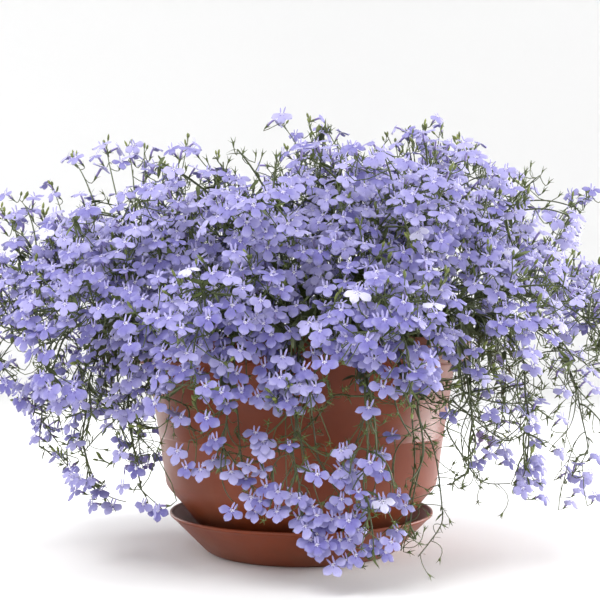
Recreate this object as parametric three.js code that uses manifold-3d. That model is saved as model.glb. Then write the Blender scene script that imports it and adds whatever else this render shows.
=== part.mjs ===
// A trailing lobelia in a terracotta-coloured pot, standing on its saucer.
// Millimetres, +Z up, +X to the right, -Y to the front.
// The origin is the centre of the saucer's underside.
//
// The plant is a set of sprays. Each spray is one leafy stem that stands in a hole in the soil,
// climbs, and bends out to its own place on the dome or over the rim. Blooms and leaves grow out of
// the faces of its stem, so a spray is one closed body. Sprays never cross: their roots stand in
// rings, the inner rings feed the top of the dome, and a bloom that would touch another spray is
// drawn again.

import * as THREE from 'three';
import { mergeVertices } from 'three/addons/utils/BufferGeometryUtils.js';
import Module from 'manifold-3d';

const wasm = await Module();
wasm.setup();

// ---- Saucer --------------------------------------------------------------------------------
const SIDES = 28;
const SAUCER = { footRadius: 70, rimRadius: 97.5, height: 28.5, floor: 3, wall: 2.4, lip: 4.4 };

// ---- Pot -----------------------------------------------------------------------------------
const POT = {
  footRadius: 63,
  footHeight: 2,
  floor: 3,
  wall: 2.2,
  waistRadius: 88.5,
  waistHeight: 35,
  shoulderRadius: 100.2,
  shoulderHeight: 49.5,
  collarHeight: 136,
  wallTopRadius: 113.4,
  rimRadius: 124.5,
  rimHeight: 154,
};
const DRAIN = { count: 5, radius: 5, circle: 38, sides: 6 };

// ---- Soil ----------------------------------------------------------------------------------
const SOIL_TOP = 136.5;
const GAP = 0.4;
const HOLE_DEPTH = 12;

// ---- Plant: outer form ---------------------------------------------------------------------
// The dome is an ellipse in plan. Its height falls off slowly at first and steeply at the edge,
// and it is a little lower towards the front and the left.
const DOME = {
  halfWidth: 233,
  halfDepth: 194,
  base: 136,
  height: 159,
  flat: 3.4,
  round: 2.5,
  frontFall: 0.2,
  leftFall: 0.16,
};

// Rings of upright stems: number, radius of their roots, elevation of their tips on the dome in
// degrees (90 at the top, 0 at the edge), how far they arch over and how far their tips droop below
// the dome, and how many blooms they bear.
const UPRIGHT = [
  { name: 'spray_top', count: 3, root: 18, elevation: 82, arch: -30, droop: 0, start: 40, blooms: 5 },
  { name: 'spray_crown', count: 8, root: 40, elevation: 62, arch: 5, droop: 0, start: 12, blooms: 6 },
  { name: 'spray_shoulder', count: 11, root: 62, elevation: 37, arch: 22, droop: 0, start: 0, blooms: 6 },
  { name: 'spray_edge', count: 13, root: 82, elevation: 9, arch: 60, droop: 32, start: 8, blooms: 6 },
];
const UMBEL = { hangs: false, bare: 1, core: 8, nodes: 4, span: 0.22, lead: 0.25, splay: 42, radius: 21.5 };
const HANGING = { hangs: true, bare: 1, core: 4, nodes: 4, span: 0.38, lead: 0.15, splay: 38, radius: 21 };
const TRAILING = { hangs: true, bare: 1, core: 0, nodes: 5, span: 0.46, lead: 0, splay: 25, radius: 16.5 };

// Stems that spill over the rim: bearing from +X in degrees, radius and height of their tips, and
// the radius that they bow out to on the way down. Their crest is how far they climb above the soil.
const SPILLING_ROOT = 100;
const SPILLING_CREST = 52;
const SPILLING = [
  { bearing: -4, reach: 210, tip: 70, bow: 204, blooms: 7 },
  { bearing: -30, reach: 172, tip: 58, bow: 182, blooms: 8 },
  { bearing: -46, reach: 150, tip: 68, bow: 166, blooms: 7 },
  { bearing: -61, reach: 144, tip: 38, bow: 156, blooms: 4 },
  { bearing: -75, reach: 152, tip: 30, bow: 159, blooms: 9 },
  { bearing: -91, reach: 148, tip: 48, bow: 158, blooms: 8 },
  { bearing: -108, reach: 150, tip: 90, bow: 160, blooms: 6 },
  { bearing: -138, reach: 142, tip: 58, bow: 162, blooms: 7 },
  { bearing: -155, reach: 160, tip: 54, bow: 172, blooms: 8 },
  { bearing: -174, reach: 190, tip: 76, bow: 196, blooms: 7 },
  { bearing: 167, reach: 220, tip: 100, bow: 212, blooms: 7 },
  { bearing: 145, reach: 172, tip: 64, bow: 184, blooms: 7 },
  { bearing: 122, reach: 152, tip: 42, bow: 168, blooms: 7 },
  { bearing: 100, reach: 150, tip: 78, bow: 164, blooms: 6 },
  { bearing: 78, reach: 154, tip: 36, bow: 168, blooms: 7 },
  { bearing: 54, reach: 174, tip: 68, bow: 186, blooms: 7 },
  { bearing: 30, reach: 198, tip: 86, bow: 198, blooms: 7 },
];

// ---- Plant: stems, leaves and blooms -------------------------------------------------------
// A stem is bare up to a share of its length and bears everything else at its nodes.
const STEM = { root: 1.7, tip: 1.1, coreCentre: 0.3, coreWidth: 0.16, bareShare: 0.4, nodeLength: 6 };
const LEAF = { count: 8, shortest: 24, longest: 34 };
const CLEARANCE = 0.9;
const FLOOR_CLEARANCE = 1.5;
const TRIES = 22;
const TOUCH_VOLUME = 0.01;
const BLOOM_RISE = 0.55;
const GOLDEN_ANGLE = 2.39996;
const FACES_PER_BAND = 6;

// A bloom seen from the front, anticlockwise from the notch at the top: bearing round the throat in
// degrees and distance as a share of its radius. Two narrow lobes stand up and three broad ones
// hang below.
const BLOOM_RIM = [
  [90, 0.26], [112, 0.84], [150, 0.3],
  [178, 0.9], [211, 1.0], [231, 0.48],
  [251, 1.0], [289, 1.0], [309, 0.48],
  [329, 1.0], [362, 0.9], [390, 0.3], [428, 0.84],
];
const BLOOM_TUBE_BEARINGS = [90, 210, 330];
const BLOOM_SEAMS = [2, 6, 11];
const BLOOM = { curl: 0.14, throat: 0.1, tube: 0.34, tubeRadius: 0.075 };

const CLAY = 0x9c4f36;
const CLAY_SAUCER = 0x94503a;
const COMPOST = 0x3a2a1e;
const PERIWINKLE = 0x9a94dc;

const radians = THREE.MathUtils.degToRad;
const UP = new THREE.Vector3(0, 0, 1);

// Repeatable random numbers.
class Draw {
  constructor(seed) {
    this.state = 9973 * (seed + 1);
    for (let i = 0; i < 4; i += 1) this.next();
  }

  next() {
    this.state = (this.state * 48271) % 2147483647;
    return this.state / 2147483647;
  }

  between(low, high) {
    return low + (high - low) * this.next();
  }

  nudge(most) {
    return new THREE.Vector3(this.between(-most, most), this.between(-most, most), this.between(-most, most));
  }
}

// ---- Solids --------------------------------------------------------------------------------

// A list of points and triangles as a solid.
function solidOf({ points, faces }) {
  const vertProperties = new Float32Array(points.flatMap((p) => [p.x, p.y, p.z]));
  const triVerts = new Uint32Array(faces.flat());
  return new wasm.Manifold(new wasm.Mesh({ numProp: 3, vertProperties, triVerts }));
}

// A closed three.js geometry as a solid. Triangles that merging has closed up are dropped.
function solidOfGeometry(geometry) {
  geometry.deleteAttribute('normal');
  geometry.deleteAttribute('uv');
  const merged = mergeVertices(geometry, 1e-3);
  const place = merged.getAttribute('position');
  const pointAt = (_, i) => new THREE.Vector3().fromBufferAttribute(place, i);
  const points = Array.from({ length: place.count }, pointAt);
  const index = Array.from(merged.index.array);
  const faces = Array.from({ length: index.length / 3 }, (_, i) => index.slice(3 * i, 3 * i + 3));
  return solidOf({ points, faces: faces.filter(([a, b, c]) => a !== b && b !== c && c !== a) });
}

// A solid as a mesh with its name and finish.
function meshOf(name, solid, color, roughness) {
  const { vertProperties, triVerts } = solid.getMesh();
  const geometry = new THREE.BufferGeometry();
  geometry.setAttribute('position', new THREE.BufferAttribute(vertProperties, 3));
  geometry.setIndex(new THREE.BufferAttribute(triVerts, 1));
  geometry.computeVertexNormals();
  const material = new THREE.MeshStandardMaterial({ color, roughness, metalness: 0, flatShading: true });
  const mesh = new THREE.Mesh(geometry, material);
  mesh.name = name;
  return mesh;
}

// A profile of radius and height, from the axis and back to it, turned round the Z axis.
function turned(profile) {
  const outline = profile.map(([radius, height]) => new THREE.Vector2(radius, height));
  return solidOfGeometry(new THREE.LatheGeometry(outline, SIDES).rotateX(Math.PI / 2));
}

// ---- Saucer, pot and soil ------------------------------------------------------------------

function saucerSolid() {
  const { footRadius, rimRadius, height, floor, wall, lip } = SAUCER;
  return turned([
    [0, 0],
    [footRadius, 0],
    [footRadius + 2.5, 1.6],
    [rimRadius - 3.6, height - lip - 1.6],
    [rimRadius, height - lip],
    [rimRadius, height],
    [rimRadius - wall, height],
    [rimRadius - wall, height - lip + 1.8],
    [rimRadius - wall - 3, height - lip - 0.4],
    [footRadius + 0.6, floor],
    [0, floor],
  ]);
}

function potSolid() {
  const foot = SAUCER.floor;
  const under = foot + POT.footHeight;
  const floor = under + POT.floor;
  const body = turned([
    [0, under],
    [POT.footRadius - 6, under],
    [POT.footRadius - 4.5, foot],
    [POT.footRadius, foot],
    [POT.footRadius + 2.5, under],
    [POT.waistRadius, POT.waistHeight],
    [POT.shoulderRadius - 2.2, POT.shoulderHeight - 3.6],
    [POT.shoulderRadius, POT.shoulderHeight],
    [POT.wallTopRadius, POT.collarHeight],
    [POT.rimRadius - 1.5, POT.collarHeight + 0.8],
    [POT.rimRadius, POT.rimHeight],
    [POT.rimRadius - POT.wall, POT.rimHeight],
    [POT.rimRadius - POT.wall - 1.5, POT.collarHeight + 3.2],
    [POT.wallTopRadius - POT.wall, POT.collarHeight + 2],
    [POT.shoulderRadius - POT.wall, POT.shoulderHeight + 1],
    [POT.waistRadius - POT.wall, POT.waistHeight + 2],
    [POT.footRadius - 1, floor],
    [0, floor],
  ]);
  return Array.from({ length: DRAIN.count }, (_, i) => drainHole(i, foot, floor)).reduce(
    (pot, hole) => pot.subtract(hole),
    body,
  );
}

function drainHole(index, foot, floor) {
  const bearing = (2 * Math.PI * index) / DRAIN.count;
  const plug = new THREE.CylinderGeometry(DRAIN.radius, DRAIN.radius, 4 * POT.floor, DRAIN.sides);
  plug.rotateX(Math.PI / 2);
  plug.translate(DRAIN.circle * Math.cos(bearing), DRAIN.circle * Math.sin(bearing), (foot + floor) / 2);
  return solidOfGeometry(plug);
}

// The soil fills the pot, a hair clear of its wall, and has a plain hole for each stem.
function soilSolid(sprays) {
  const floor = SAUCER.floor + POT.footHeight + POT.floor;
  const wallSlope = (POT.wallTopRadius - POT.shoulderRadius) / (POT.collarHeight - POT.shoulderHeight);
  const topRadius = POT.wallTopRadius - POT.wall + wallSlope * (SOIL_TOP - POT.collarHeight - 2);
  const body = turned([
    [0, floor + GAP],
    [POT.footRadius - 1 - GAP, floor + GAP],
    [POT.waistRadius - POT.wall - GAP, POT.waistHeight + 2 + GAP],
    [POT.shoulderRadius - POT.wall - GAP, POT.shoulderHeight + 1 + GAP],
    [topRadius - GAP, SOIL_TOP],
    [0, SOIL_TOP],
  ]);
  return sprays.reduce((soil, { root, bearing }) => soil.subtract(stemHole(root, bearing)), body);
}

function stemHole(root, bearing) {
  const foot = rootPoint(root, bearing, -HOLE_DEPTH - GAP);
  const mouth = rootPoint(root, bearing, HOLE_DEPTH);
  return solidOf(tube([foot, mouth], [STEM.root + 2 * GAP, STEM.root + 2 * GAP], bearing));
}

// ---- Stems ---------------------------------------------------------------------------------

function rootPoint(radius, bearing, rise) {
  return new THREE.Vector3(radius * Math.cos(bearing), radius * Math.sin(bearing), SOIL_TOP + rise);
}

// A point of the dome, a superellipse turned round, from its elevation and its bearing.
function domePoint(elevation, bearing) {
  const reach = Math.pow(Math.cos(elevation), 2 / DOME.flat);
  const rise = Math.pow(Math.sin(elevation), 2 / DOME.round);
  const x = DOME.halfWidth * reach * Math.cos(bearing);
  const y = DOME.halfDepth * reach * Math.sin(bearing);
  const frontFall = (DOME.frontFall * Math.max(0, -y)) / DOME.halfDepth;
  const leftFall = (DOME.leftFall * Math.max(0, -x)) / DOME.halfWidth;
  return new THREE.Vector3(x, y, DOME.base + DOME.height * rise * (1 - frontFall - leftFall));
}

// The way that a bloom at this point looks: out of the dome, but more to the side than up, and
// level below the dome's edge.
function outwardAt(point) {
  return new THREE.Vector3(
    point.x / DOME.halfWidth,
    point.y / DOME.halfDepth,
    (BLOOM_RISE * Math.max(0, point.z - DOME.base)) / DOME.height,
  ).normalize();
}

// The curve of a stem of the dome: straight up from its root, then out to its tip.
function uprightCurve(root, tip, arch) {
  const climb = tip.z - root.z;
  const low = root.clone().lerp(tip, 0.07).setZ(root.z + 0.48 * climb + 0.4 * Math.max(0, arch));
  const high = root.clone().lerp(tip, 0.62).setZ(tip.z + arch);
  return new THREE.CubicBezierCurve3(root, low, high, tip);
}

// The curve of a stem that spills: up past the rim, out to its bow, and down to its tip.
function spillingCurve(root, tip, bow, bearing) {
  const low = rootPoint(SPILLING_ROOT + 4, bearing, SPILLING_CREST - 6);
  const high = rootPoint(bow, bearing, SPILLING_CREST + 0.45 * (bow - POT.rimRadius - 34));
  return new THREE.CubicBezierCurve3(root, low, high, tip);
}

// The middles of a stem's nodes, as shares of its length.
function nodePlaces(nodes) {
  return Array.from({ length: nodes }, (_, i) => STEM.bareShare + ((1 - STEM.bareShare) * (i + 0.5)) / nodes);
}

// A stem thins towards its tip and swells to a core deep inside the dome.
function stemRadius(place, core) {
  const away = (place - STEM.coreCentre) / STEM.coreWidth;
  return STEM.root + (STEM.tip - STEM.root) * place + core * Math.exp(-away * away);
}

// A three-sided tube through points. The bearing fixes which way its first side looks.
function tube(path, radii, bearing) {
  const across = new THREE.Vector3(-Math.sin(bearing), Math.cos(bearing), 0);
  const points = [];
  const faces = [[0, 2, 1]];
  path.forEach((centre, i) => {
    const ahead = path[Math.min(i + 1, path.length - 1)].clone().sub(path[Math.max(i - 1, 0)]).normalize();
    const above = ahead.cross(across);
    BLOOM_TUBE_BEARINGS.map(radians).forEach((angle) => {
      const arm = across.clone().multiplyScalar(Math.cos(angle)).addScaledVector(above, Math.sin(angle));
      points.push(centre.clone().addScaledVector(arm, radii[i]));
    });
    if (i > 0) faces.push(...band(3 * i - 3, 3 * i));
  });
  const end = points.length - 3;
  faces.push([end, end + 1, end + 2]);
  return { points, faces };
}

// Six triangles between two rings of three points.
function band(lower, upper, turn = 0) {
  return [0, 1, 2].flatMap((i) => {
    const next = (i + 1) % 3;
    const far = upper + ((next + turn) % 3);
    return [[lower + i, lower + next, far], [lower + i, far, upper + ((i + turn) % 3)]];
  });
}

// ---- Blooms and leaves ---------------------------------------------------------------------

// A bloom: rim of lobes, throat and the ring of its tube, for a place and a way to look.
function bloomShape(centre, facing, tilt, radius, grow) {
  const above = UP.clone().addScaledVector(facing, -UP.dot(facing)).normalize().applyAxisAngle(facing, tilt);
  const across = above.clone().cross(facing);
  const at = (bearing, share, ahead) => {
    const angle = radians(bearing);
    return centre.clone()
      .addScaledVector(across, share * Math.cos(angle))
      .addScaledVector(above, share * Math.sin(angle))
      .addScaledVector(facing, ahead);
  };
  return {
    rim: BLOOM_RIM.map(([bearing, share]) => at(bearing, radius * share + grow, radius * BLOOM.curl * share)),
    throat: at(0, 0, grow - radius * BLOOM.throat),
    tube: BLOOM_TUBE_BEARINGS.map((bearing) => at(bearing, radius * BLOOM.tubeRadius, -radius * BLOOM.tube)),
  };
}

// The stalk from a triangle of the stem to the bloom's tube, and the bloom on it.
function bloomOnStalk(base, bloom) {
  const turn = leastOf([0, 1, 2], (k) => stalkTwist(base, bloom, k));
  const points = [...base, ...bloom.tube, ...bloom.rim, bloom.throat];
  const rimStart = 6;
  const count = bloom.rim.length;
  const throat = rimStart + count;
  const faces = band(0, 3, turn);
  BLOOM_SEAMS.forEach((seam, i) => {
    const tubePoint = 3 + i;
    const nextTubePoint = 3 + ((i + 1) % 3);
    faces.push([tubePoint, nextTubePoint, rimStart + seam]);
    const first = BLOOM_SEAMS[(i + 2) % 3];
    const steps = (seam - first + count) % count;
    for (let k = 0; k < steps; k += 1) {
      const here = rimStart + ((first + k) % count);
      const next = rimStart + ((first + k + 1) % count);
      faces.push([tubePoint, next, here], [throat, here, next]);
    }
  });
  return { points, faces };
}

// The item of a list with the smallest measure.
function leastOf(list, measure) {
  return list.reduce((best, item) => (measure(item) < measure(best) ? item : best));
}

// How far apart the points of the stalk's two ends are when one end is turned by a number of points.
function stalkTwist(base, bloom, turn) {
  return base.reduce((sum, point, i) => sum + point.distanceTo(bloom.tube[(i + turn) % 3]), 0);
}

// A leaf: a long blade that rises from a triangle of the stem to one point.
function leafBlade(base, tip) {
  return { points: [...base, tip], faces: [[0, 1, 3], [1, 2, 3], [2, 0, 3]] };
}

// What has grown from a triangle, closed off by that triangle, to test it against the others.
function closedGrowth({ points, faces }) {
  return solidOf({ points, faces: [[0, 2, 1], ...faces] });
}

// ---- Sprays --------------------------------------------------------------------------------

// Every spray's name, root, bearing, curve and bloom plan.
function planSprays() {
  const upright = UPRIGHT.flatMap((ring) => Array.from({ length: ring.count }, (_, i) => {
    const draw = new Draw(101 * ring.root + i);
    const bearing = radians(ring.start + (360 * i) / ring.count + draw.between(-3, 3));
    const tip = domePoint(radians(ring.elevation + draw.between(-3, 3)), bearing);
    tip.z += draw.between(-8, 12) - ring.droop;
    const start = rootPoint(ring.root, bearing, 3);
    const curve = uprightCurve(start, tip, ring.arch + ring.droop);
    const habit = ring.droop > 0 ? HANGING : UMBEL;
    return { ...ring, ...habit, name: `${ring.name}_${i + 1}`, bearing, curve, draw };
  }));
  const spilling = SPILLING.map((stem, i) => {
    const draw = new Draw(7000 + i);
    const bearing = radians(stem.bearing);
    const tip = rootPoint(stem.reach, bearing, stem.tip - SOIL_TOP);
    const start = rootPoint(SPILLING_ROOT, bearing, 3);
    const curve = spillingCurve(start, tip, stem.bow, bearing);
    const name = `spray_trailing_${i + 1}`;
    return { ...TRAILING, name, root: SPILLING_ROOT, bearing, curve, draw, blooms: stem.blooms };
  });
  return [...upright, ...spilling];
}

// A spray's stem: its foot in the soil, its bare part, two rings at each node, and its end.
function stemOf(spray) {
  const nodes = nodePlaces(spray.nodes);
  const half = STEM.nodeLength / 2 / spray.curve.getLength();
  const bare = Array.from({ length: spray.bare }, (_, i) => (STEM.bareShare * (i + 1)) / (spray.bare + 1));
  const places = [0, ...bare, ...nodes.flatMap((node) => [node - half, node + half]), 1];
  const foot = rootPoint(spray.root, spray.bearing, -HOLE_DEPTH);
  const path = [foot, ...places.map((place) => spray.curve.getPointAt(place))];
  const radii = [STEM.root, ...places.map((place) => stemRadius(place, spray.core))];
  const stem = tube(path, radii, spray.bearing);
  const firstNodeFace = 1 + (2 + spray.bare) * FACES_PER_BAND;
  const free = new Map(nodes.flatMap((node, i) => Array.from({ length: FACES_PER_BAND }, (_, k) => (
    [firstNodeFace + 2 * FACES_PER_BAND * i + k, node]
  ))));
  return { ...stem, free, end: stem.faces.length - 1, grown: [] };
}

function boxOf(points) {
  return new THREE.Box3().setFromPoints(points);
}

// True where a new growth shares more than a volume with a solid of the list.
function meets(solid, box, obstacles, allowed) {
  return obstacles.some((other) => {
    if (!box.intersectsBox(other.box)) return false;
    const shared = solid.intersect(other.solid);
    const volume = shared.volume();
    shared.delete();
    return volume > allowed;
  });
}

// The triangles of a stem's nodes that nothing has grown from yet, near a place along it.
function freeFaces(stem, place, reach) {
  return [...stem.free]
    .filter(([, node]) => Math.abs(node - place) < reach)
    .map(([index, node]) => ({ index, node, face: stem.faces[index] }));
}

function faceCentre(stem, face) {
  return face.reduce((sum, i) => sum.add(stem.points[i]), new THREE.Vector3()).divideScalar(3);
}

function faceNormal(stem, [a, b, c]) {
  const along = stem.points[b].clone().sub(stem.points[a]);
  return along.cross(stem.points[c].clone().sub(stem.points[a])).normalize();
}

// Lets a growth take the place of the triangle that it stands on.
function graft(stem, index, growth) {
  const base = stem.faces[index];
  const offset = stem.points.length - 3;
  const place = (i) => (i < 3 ? base[i] : i + offset);
  stem.points.push(...growth.points.slice(3));
  stem.faces[index] = null;
  stem.grown.push(...growth.faces.map((face) => face.map(place)));
  stem.free.delete(index);
}

// Where the k-th bloom of a spray would stand, how it looks and which triangle it grows from.
function drawBloom(spray, stem, k, attempt) {
  const { curve, draw } = spray;
  if (k === 0) return tipBloom(spray, stem, attempt);
  const share = k / Math.max(1, spray.blooms - 1);
  const along = spray.span * (spray.lead + (1 - spray.lead) * share);
  const place = Math.max(STEM.bareShare, 1 - along - draw.between(0, 0.03 + 0.008 * attempt));
  const ahead = curve.getTangentAt(place);
  const across = new THREE.Vector3(-Math.sin(spray.bearing), Math.cos(spray.bearing), 0);
  const above = ahead.clone().cross(across);
  const turn = GOLDEN_ANGLE * k + draw.between(-0.5, 0.5) * (1 + 0.35 * attempt);
  const lift = spray.hangs ? Math.abs(Math.sin(turn)) : Math.sin(turn);
  const arm = across.multiplyScalar(Math.cos(turn)).addScaledVector(above, lift).normalize();
  const reach = spray.splay * draw.between(0.72, 1) * (1 - 0.012 * attempt);
  const centre = curve.getPointAt(place).addScaledVector(arm, reach);
  const facing = outwardAt(centre)
    .addScaledVector(arm, 0.45)
    .addScaledVector(UP, 0.12)
    .add(draw.nudge(0.25))
    .normalize();
  const free = freeFaces(stem, Math.max(STEM.bareShare, place - 0.12 - 0.08 * share), 0.12);
  if (free.length === 0) return null;
  const { index } = leastOf(free, ({ face }) => -faceNormal(stem, face).dot(arm));
  const radius = spray.radius * draw.between(0.88, 1.06) * (1 - 0.008 * attempt);
  return { centre, facing, index, radius };
}

// The bloom at the very tip grows from the end of the stem.
function tipBloom(spray, stem, attempt) {
  const { curve, draw } = spray;
  const ahead = curve.getTangentAt(1);
  const centre = curve.getPointAt(1).addScaledVector(ahead, draw.between(9, 13) - 0.4 * attempt);
  const facing = outwardAt(centre)
    .addScaledVector(ahead, 0.6)
    .add(draw.nudge(0.2))
    .normalize();
  const radius = spray.radius * draw.between(0.88, 1.04) * (1 - 0.008 * attempt);
  return { centre, facing, index: stem.end, radius };
}

// Turns a bloom until its stalk leaves from its back.
function settleFacing(facing, towardStem) {
  const turned = facing.clone();
  for (let i = 0; i < 6 && -turned.dot(towardStem) < 0.35; i += 1) {
    turned.addScaledVector(towardStem, -0.35).normalize();
  }
  return turned;
}

function growBloom(spray, stem, k, others, own) {
  for (let attempt = 0; attempt < TRIES; attempt += 1) {
    const plan = drawBloom(spray, stem, k, attempt);
    const tilt = spray.draw.between(-0.4, 0.4);
    if (!plan) continue;
    const base = stem.faces[plan.index].map((i) => stem.points[i]);
    const towardStem = faceCentre(stem, stem.faces[plan.index]).sub(plan.centre).normalize();
    const facing = settleFacing(plan.facing, towardStem);
    const shape = (grow) => bloomOnStalk(base, bloomShape(plan.centre, facing, tilt, plan.radius, grow));
    const roomy = shape(CLEARANCE);
    const box = boxOf(roomy.points);
    if (box.min.z < FLOOR_CLEARANCE) continue;
    const growth = shape(0);
    const solid = closedGrowth(growth);
    if (meets(closedGrowth(roomy), box, others, 0) || meets(solid, box, own, TOUCH_VOLUME)) {
      solid.delete();
      continue;
    }
    graft(stem, plan.index, growth);
    own.push({ solid, box: boxOf(growth.points) });
    return;
  }
}

function growLeaf(spray, stem, share, others, own) {
  const { draw } = spray;
  for (let attempt = 0; attempt < TRIES / 2; attempt += 1) {
    const free = freeFaces(stem, STEM.bareShare + (1 - STEM.bareShare) * share, 0.16);
    if (free.length === 0) return;
    const { face, index, node } = free[Math.floor(draw.next() * free.length)];
    const ahead = spray.curve.getTangentAt(node);
    const way = faceNormal(stem, face).addScaledVector(ahead, draw.between(0.4, 1)).normalize();
    const length = draw.between(LEAF.shortest, LEAF.longest);
    const blade = (reach) => leafBlade(
      face.map((i) => stem.points[i]),
      faceCentre(stem, face).addScaledVector(way, reach),
    );
    const roomy = blade(length + 2 * CLEARANCE);
    const box = boxOf(roomy.points);
    const solid = closedGrowth(blade(length));
    const clear = !meets(closedGrowth(roomy), box, others, 0) && !meets(solid, box, own, TOUCH_VOLUME);
    if (clear && box.min.z > FLOOR_CLEARANCE) {
      graft(stem, index, blade(length));
      own.push({ solid, box });
      return;
    }
    solid.delete();
  }
}

// Grows the blooms and leaves of every spray, each clear of every other spray.
function growSprays(sprays, holder) {
  const stems = sprays.map((spray) => {
    const stem = stemOf(spray);
    return { ...stem, solid: solidOf(stem), box: boxOf(stem.points) };
  });
  const growths = sprays.map(() => []);
  const eachSpray = (grow) => sprays.forEach((spray, i) => {
    const others = [holder, ...stems.filter((_, j) => j !== i), ...growths.filter((_, j) => j !== i).flat()];
    grow(spray, stems[i], others, growths[i]);
  });
  const most = Math.max(...sprays.map((spray) => spray.blooms));
  for (let k = 0; k < most; k += 1) {
    eachSpray((spray, stem, others, own) => {
      if (k < spray.blooms) growBloom(spray, stem, k, others, own);
    });
  }
  for (let k = 0; k < LEAF.count; k += 1) {
    eachSpray((spray, stem, others, own) => growLeaf(spray, stem, k / (LEAF.count - 1), others, own));
  }
  return stems.map(({ points, faces, grown }) => ({ points, faces: [...faces.filter(Boolean), ...grown] }));
}

// ---- The whole object ----------------------------------------------------------------------

function build() {
  const group = new THREE.Group();
  const sprays = planSprays();
  const pot = potSolid();
  const corner = new THREE.Vector3(POT.rimRadius, POT.rimRadius, POT.rimHeight);
  const holder = { solid: pot, box: new THREE.Box3(corner.clone().negate(), corner) };
  const plant = growSprays(sprays, holder);
  group.add(meshOf('saucer', saucerSolid(), CLAY_SAUCER, 0.5));
  group.add(meshOf('pot', pot, CLAY, 0.42));
  group.add(meshOf('soil', soilSolid(sprays), COMPOST, 1));
  plant.forEach((shape, i) => group.add(meshOf(sprays[i].name, solidOf(shape), PERIWINKLE, 0.7)));
  return group;
}

export default build();
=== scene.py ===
"""Trailing lobelia in its pot: flowers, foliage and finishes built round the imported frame.

The frame gives each spray's large flower heads. Every head becomes a cluster of true-sized flowers on
thin stalks, with buds and narrow leaves. The tables of the plant and the shapes of one flower, leaf and
bud are in millimetres. Settings, paths and meshes are in metres.
"""

import math

import bmesh
import bpy
import numpy as np
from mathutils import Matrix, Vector


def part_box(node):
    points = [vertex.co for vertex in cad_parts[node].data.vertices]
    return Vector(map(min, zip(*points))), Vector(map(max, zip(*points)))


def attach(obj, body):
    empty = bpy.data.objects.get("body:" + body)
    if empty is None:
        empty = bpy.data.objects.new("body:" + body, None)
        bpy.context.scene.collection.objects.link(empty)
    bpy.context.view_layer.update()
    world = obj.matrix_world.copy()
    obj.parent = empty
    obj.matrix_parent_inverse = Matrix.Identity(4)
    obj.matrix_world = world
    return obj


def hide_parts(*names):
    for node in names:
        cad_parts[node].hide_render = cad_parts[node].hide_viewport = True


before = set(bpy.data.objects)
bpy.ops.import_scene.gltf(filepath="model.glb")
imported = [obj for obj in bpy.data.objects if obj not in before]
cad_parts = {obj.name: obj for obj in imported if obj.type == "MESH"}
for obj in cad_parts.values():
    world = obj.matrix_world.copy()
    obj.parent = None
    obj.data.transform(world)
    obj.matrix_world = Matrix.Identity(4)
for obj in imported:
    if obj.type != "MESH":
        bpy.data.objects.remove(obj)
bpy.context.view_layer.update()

bl_info = {
    "name": "Trailing lobelia in its pot",
    "version": (1, 0, 0),
    "blender": (4, 5, 0),
    "location": "3D View > Sidebar > Lobelia",
    "description": "Builds the flowers, foliage, pot, saucer and stage of a trailing lobelia",
    "category": "Object",
}

MM = 0.001
UP = np.array([0.0, 0.0, 1.0])
GOLDEN_ANGLE = 2.39996
ANY_TURN = 6.28
# Points this close, in metres, are one.
MERGE = 1e-6
# Seeds of the random draws: the soil's waves, the forms of the flowers, and the sprays by number.
SOIL_SEED = 11
FLOWER_SEED = 50
UPRIGHT_SEED = 1000
SPILLING_SEED = 2000

# ---- Plant: the same driving sizes as the frame's ---------------------------------------------
SOIL_TOP = 136.5
HOLE_DEPTH = 12
DOME = {"half_width": 233, "half_depth": 194, "base": 136, "height": 159, "flat": 3.4, "round": 2.5,
        "front_fall": 0.2, "left_fall": 0.16}
# Rings of upright stems: name, number, root radius, elevation of the tips, arch, droop, start bearing.
UPRIGHT = (
    ("spray_top", 3, 18, 82, -30, 0, 40),
    ("spray_crown", 8, 40, 62, 5, 0, 12),
    ("spray_shoulder", 11, 62, 37, 22, 0, 0),
    ("spray_edge", 13, 82, 9, 60, 32, 8),
)
SPILLING_ROOT = 100
SPILLING_CREST = 52
RIM_RADIUS = 124.5
# Spilling stems: bearing, reach, height of the tip, bow.
SPILLING = (
    (-4, 210, 70, 204), (-30, 172, 58, 182), (-46, 150, 68, 166), (-61, 144, 38, 156), (-75, 152, 30, 159),
    (-91, 148, 48, 158), (-108, 150, 90, 160), (-138, 142, 58, 162), (-155, 160, 54, 172),
    (-174, 190, 76, 196), (167, 220, 100, 212), (145, 172, 64, 184), (122, 152, 42, 168),
    (100, 150, 78, 164), (78, 154, 36, 168), (54, 174, 68, 186), (30, 198, 86, 198),
)
TRAILING = "spray_trailing_"
# Points round the rim of a head in the frame, and the least cosine between its facets and its facing.
RIM_POINTS = 13
FLAT_FAN = 0.5
# Flowers turn towards the light by this pull.
LIGHT_WAY = np.array([0.0, -1.0, 0.45])
LIGHT_PULL = 0.9
# Top corner of the room that the plant may fill, in metres.
ROOM = np.array([0.252, 0.222, 0.324])
# Sprigs that fall over the rim from a spilling stem, and the stems that have more of them.
SKIRT_SPRIGS = 8
FULL_SKIRT_SPRIGS = 15
FULL_SKIRTS = (5, 6, 7, 8)
LOWEST_FLOWER = 17
# Smallest gaps between flowers of the dome, of the trailing stems and of those with their own places.
DOME_GAP = 8
TRAIL_GAP = 8.6
HUNG_GAP = 4
# Share of the dropped flowers that leave their calyx.
LEFT_CALYX = 0.3
# Mean tone of the petals at heights, in the dome and on the flowers that hang: painted light and shade,
# darker low down. It rises towards the right as painted light.
DOME_PAINTED_LIGHT_AND_SHADE = np.array([(150, 0.14), (200, 0.22), (250, 0.42)])
HUNG_PAINTED_LIGHT_AND_SHADE = np.array([(30, 0.34), (60, 0.52), (90, 0.66), (130, 0.5)])
PAINTED_LIGHT_RIGHT = 0.42
PAINTED_LIGHT_FROM = 90
PAINTED_LIGHT_OVER = 80
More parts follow.
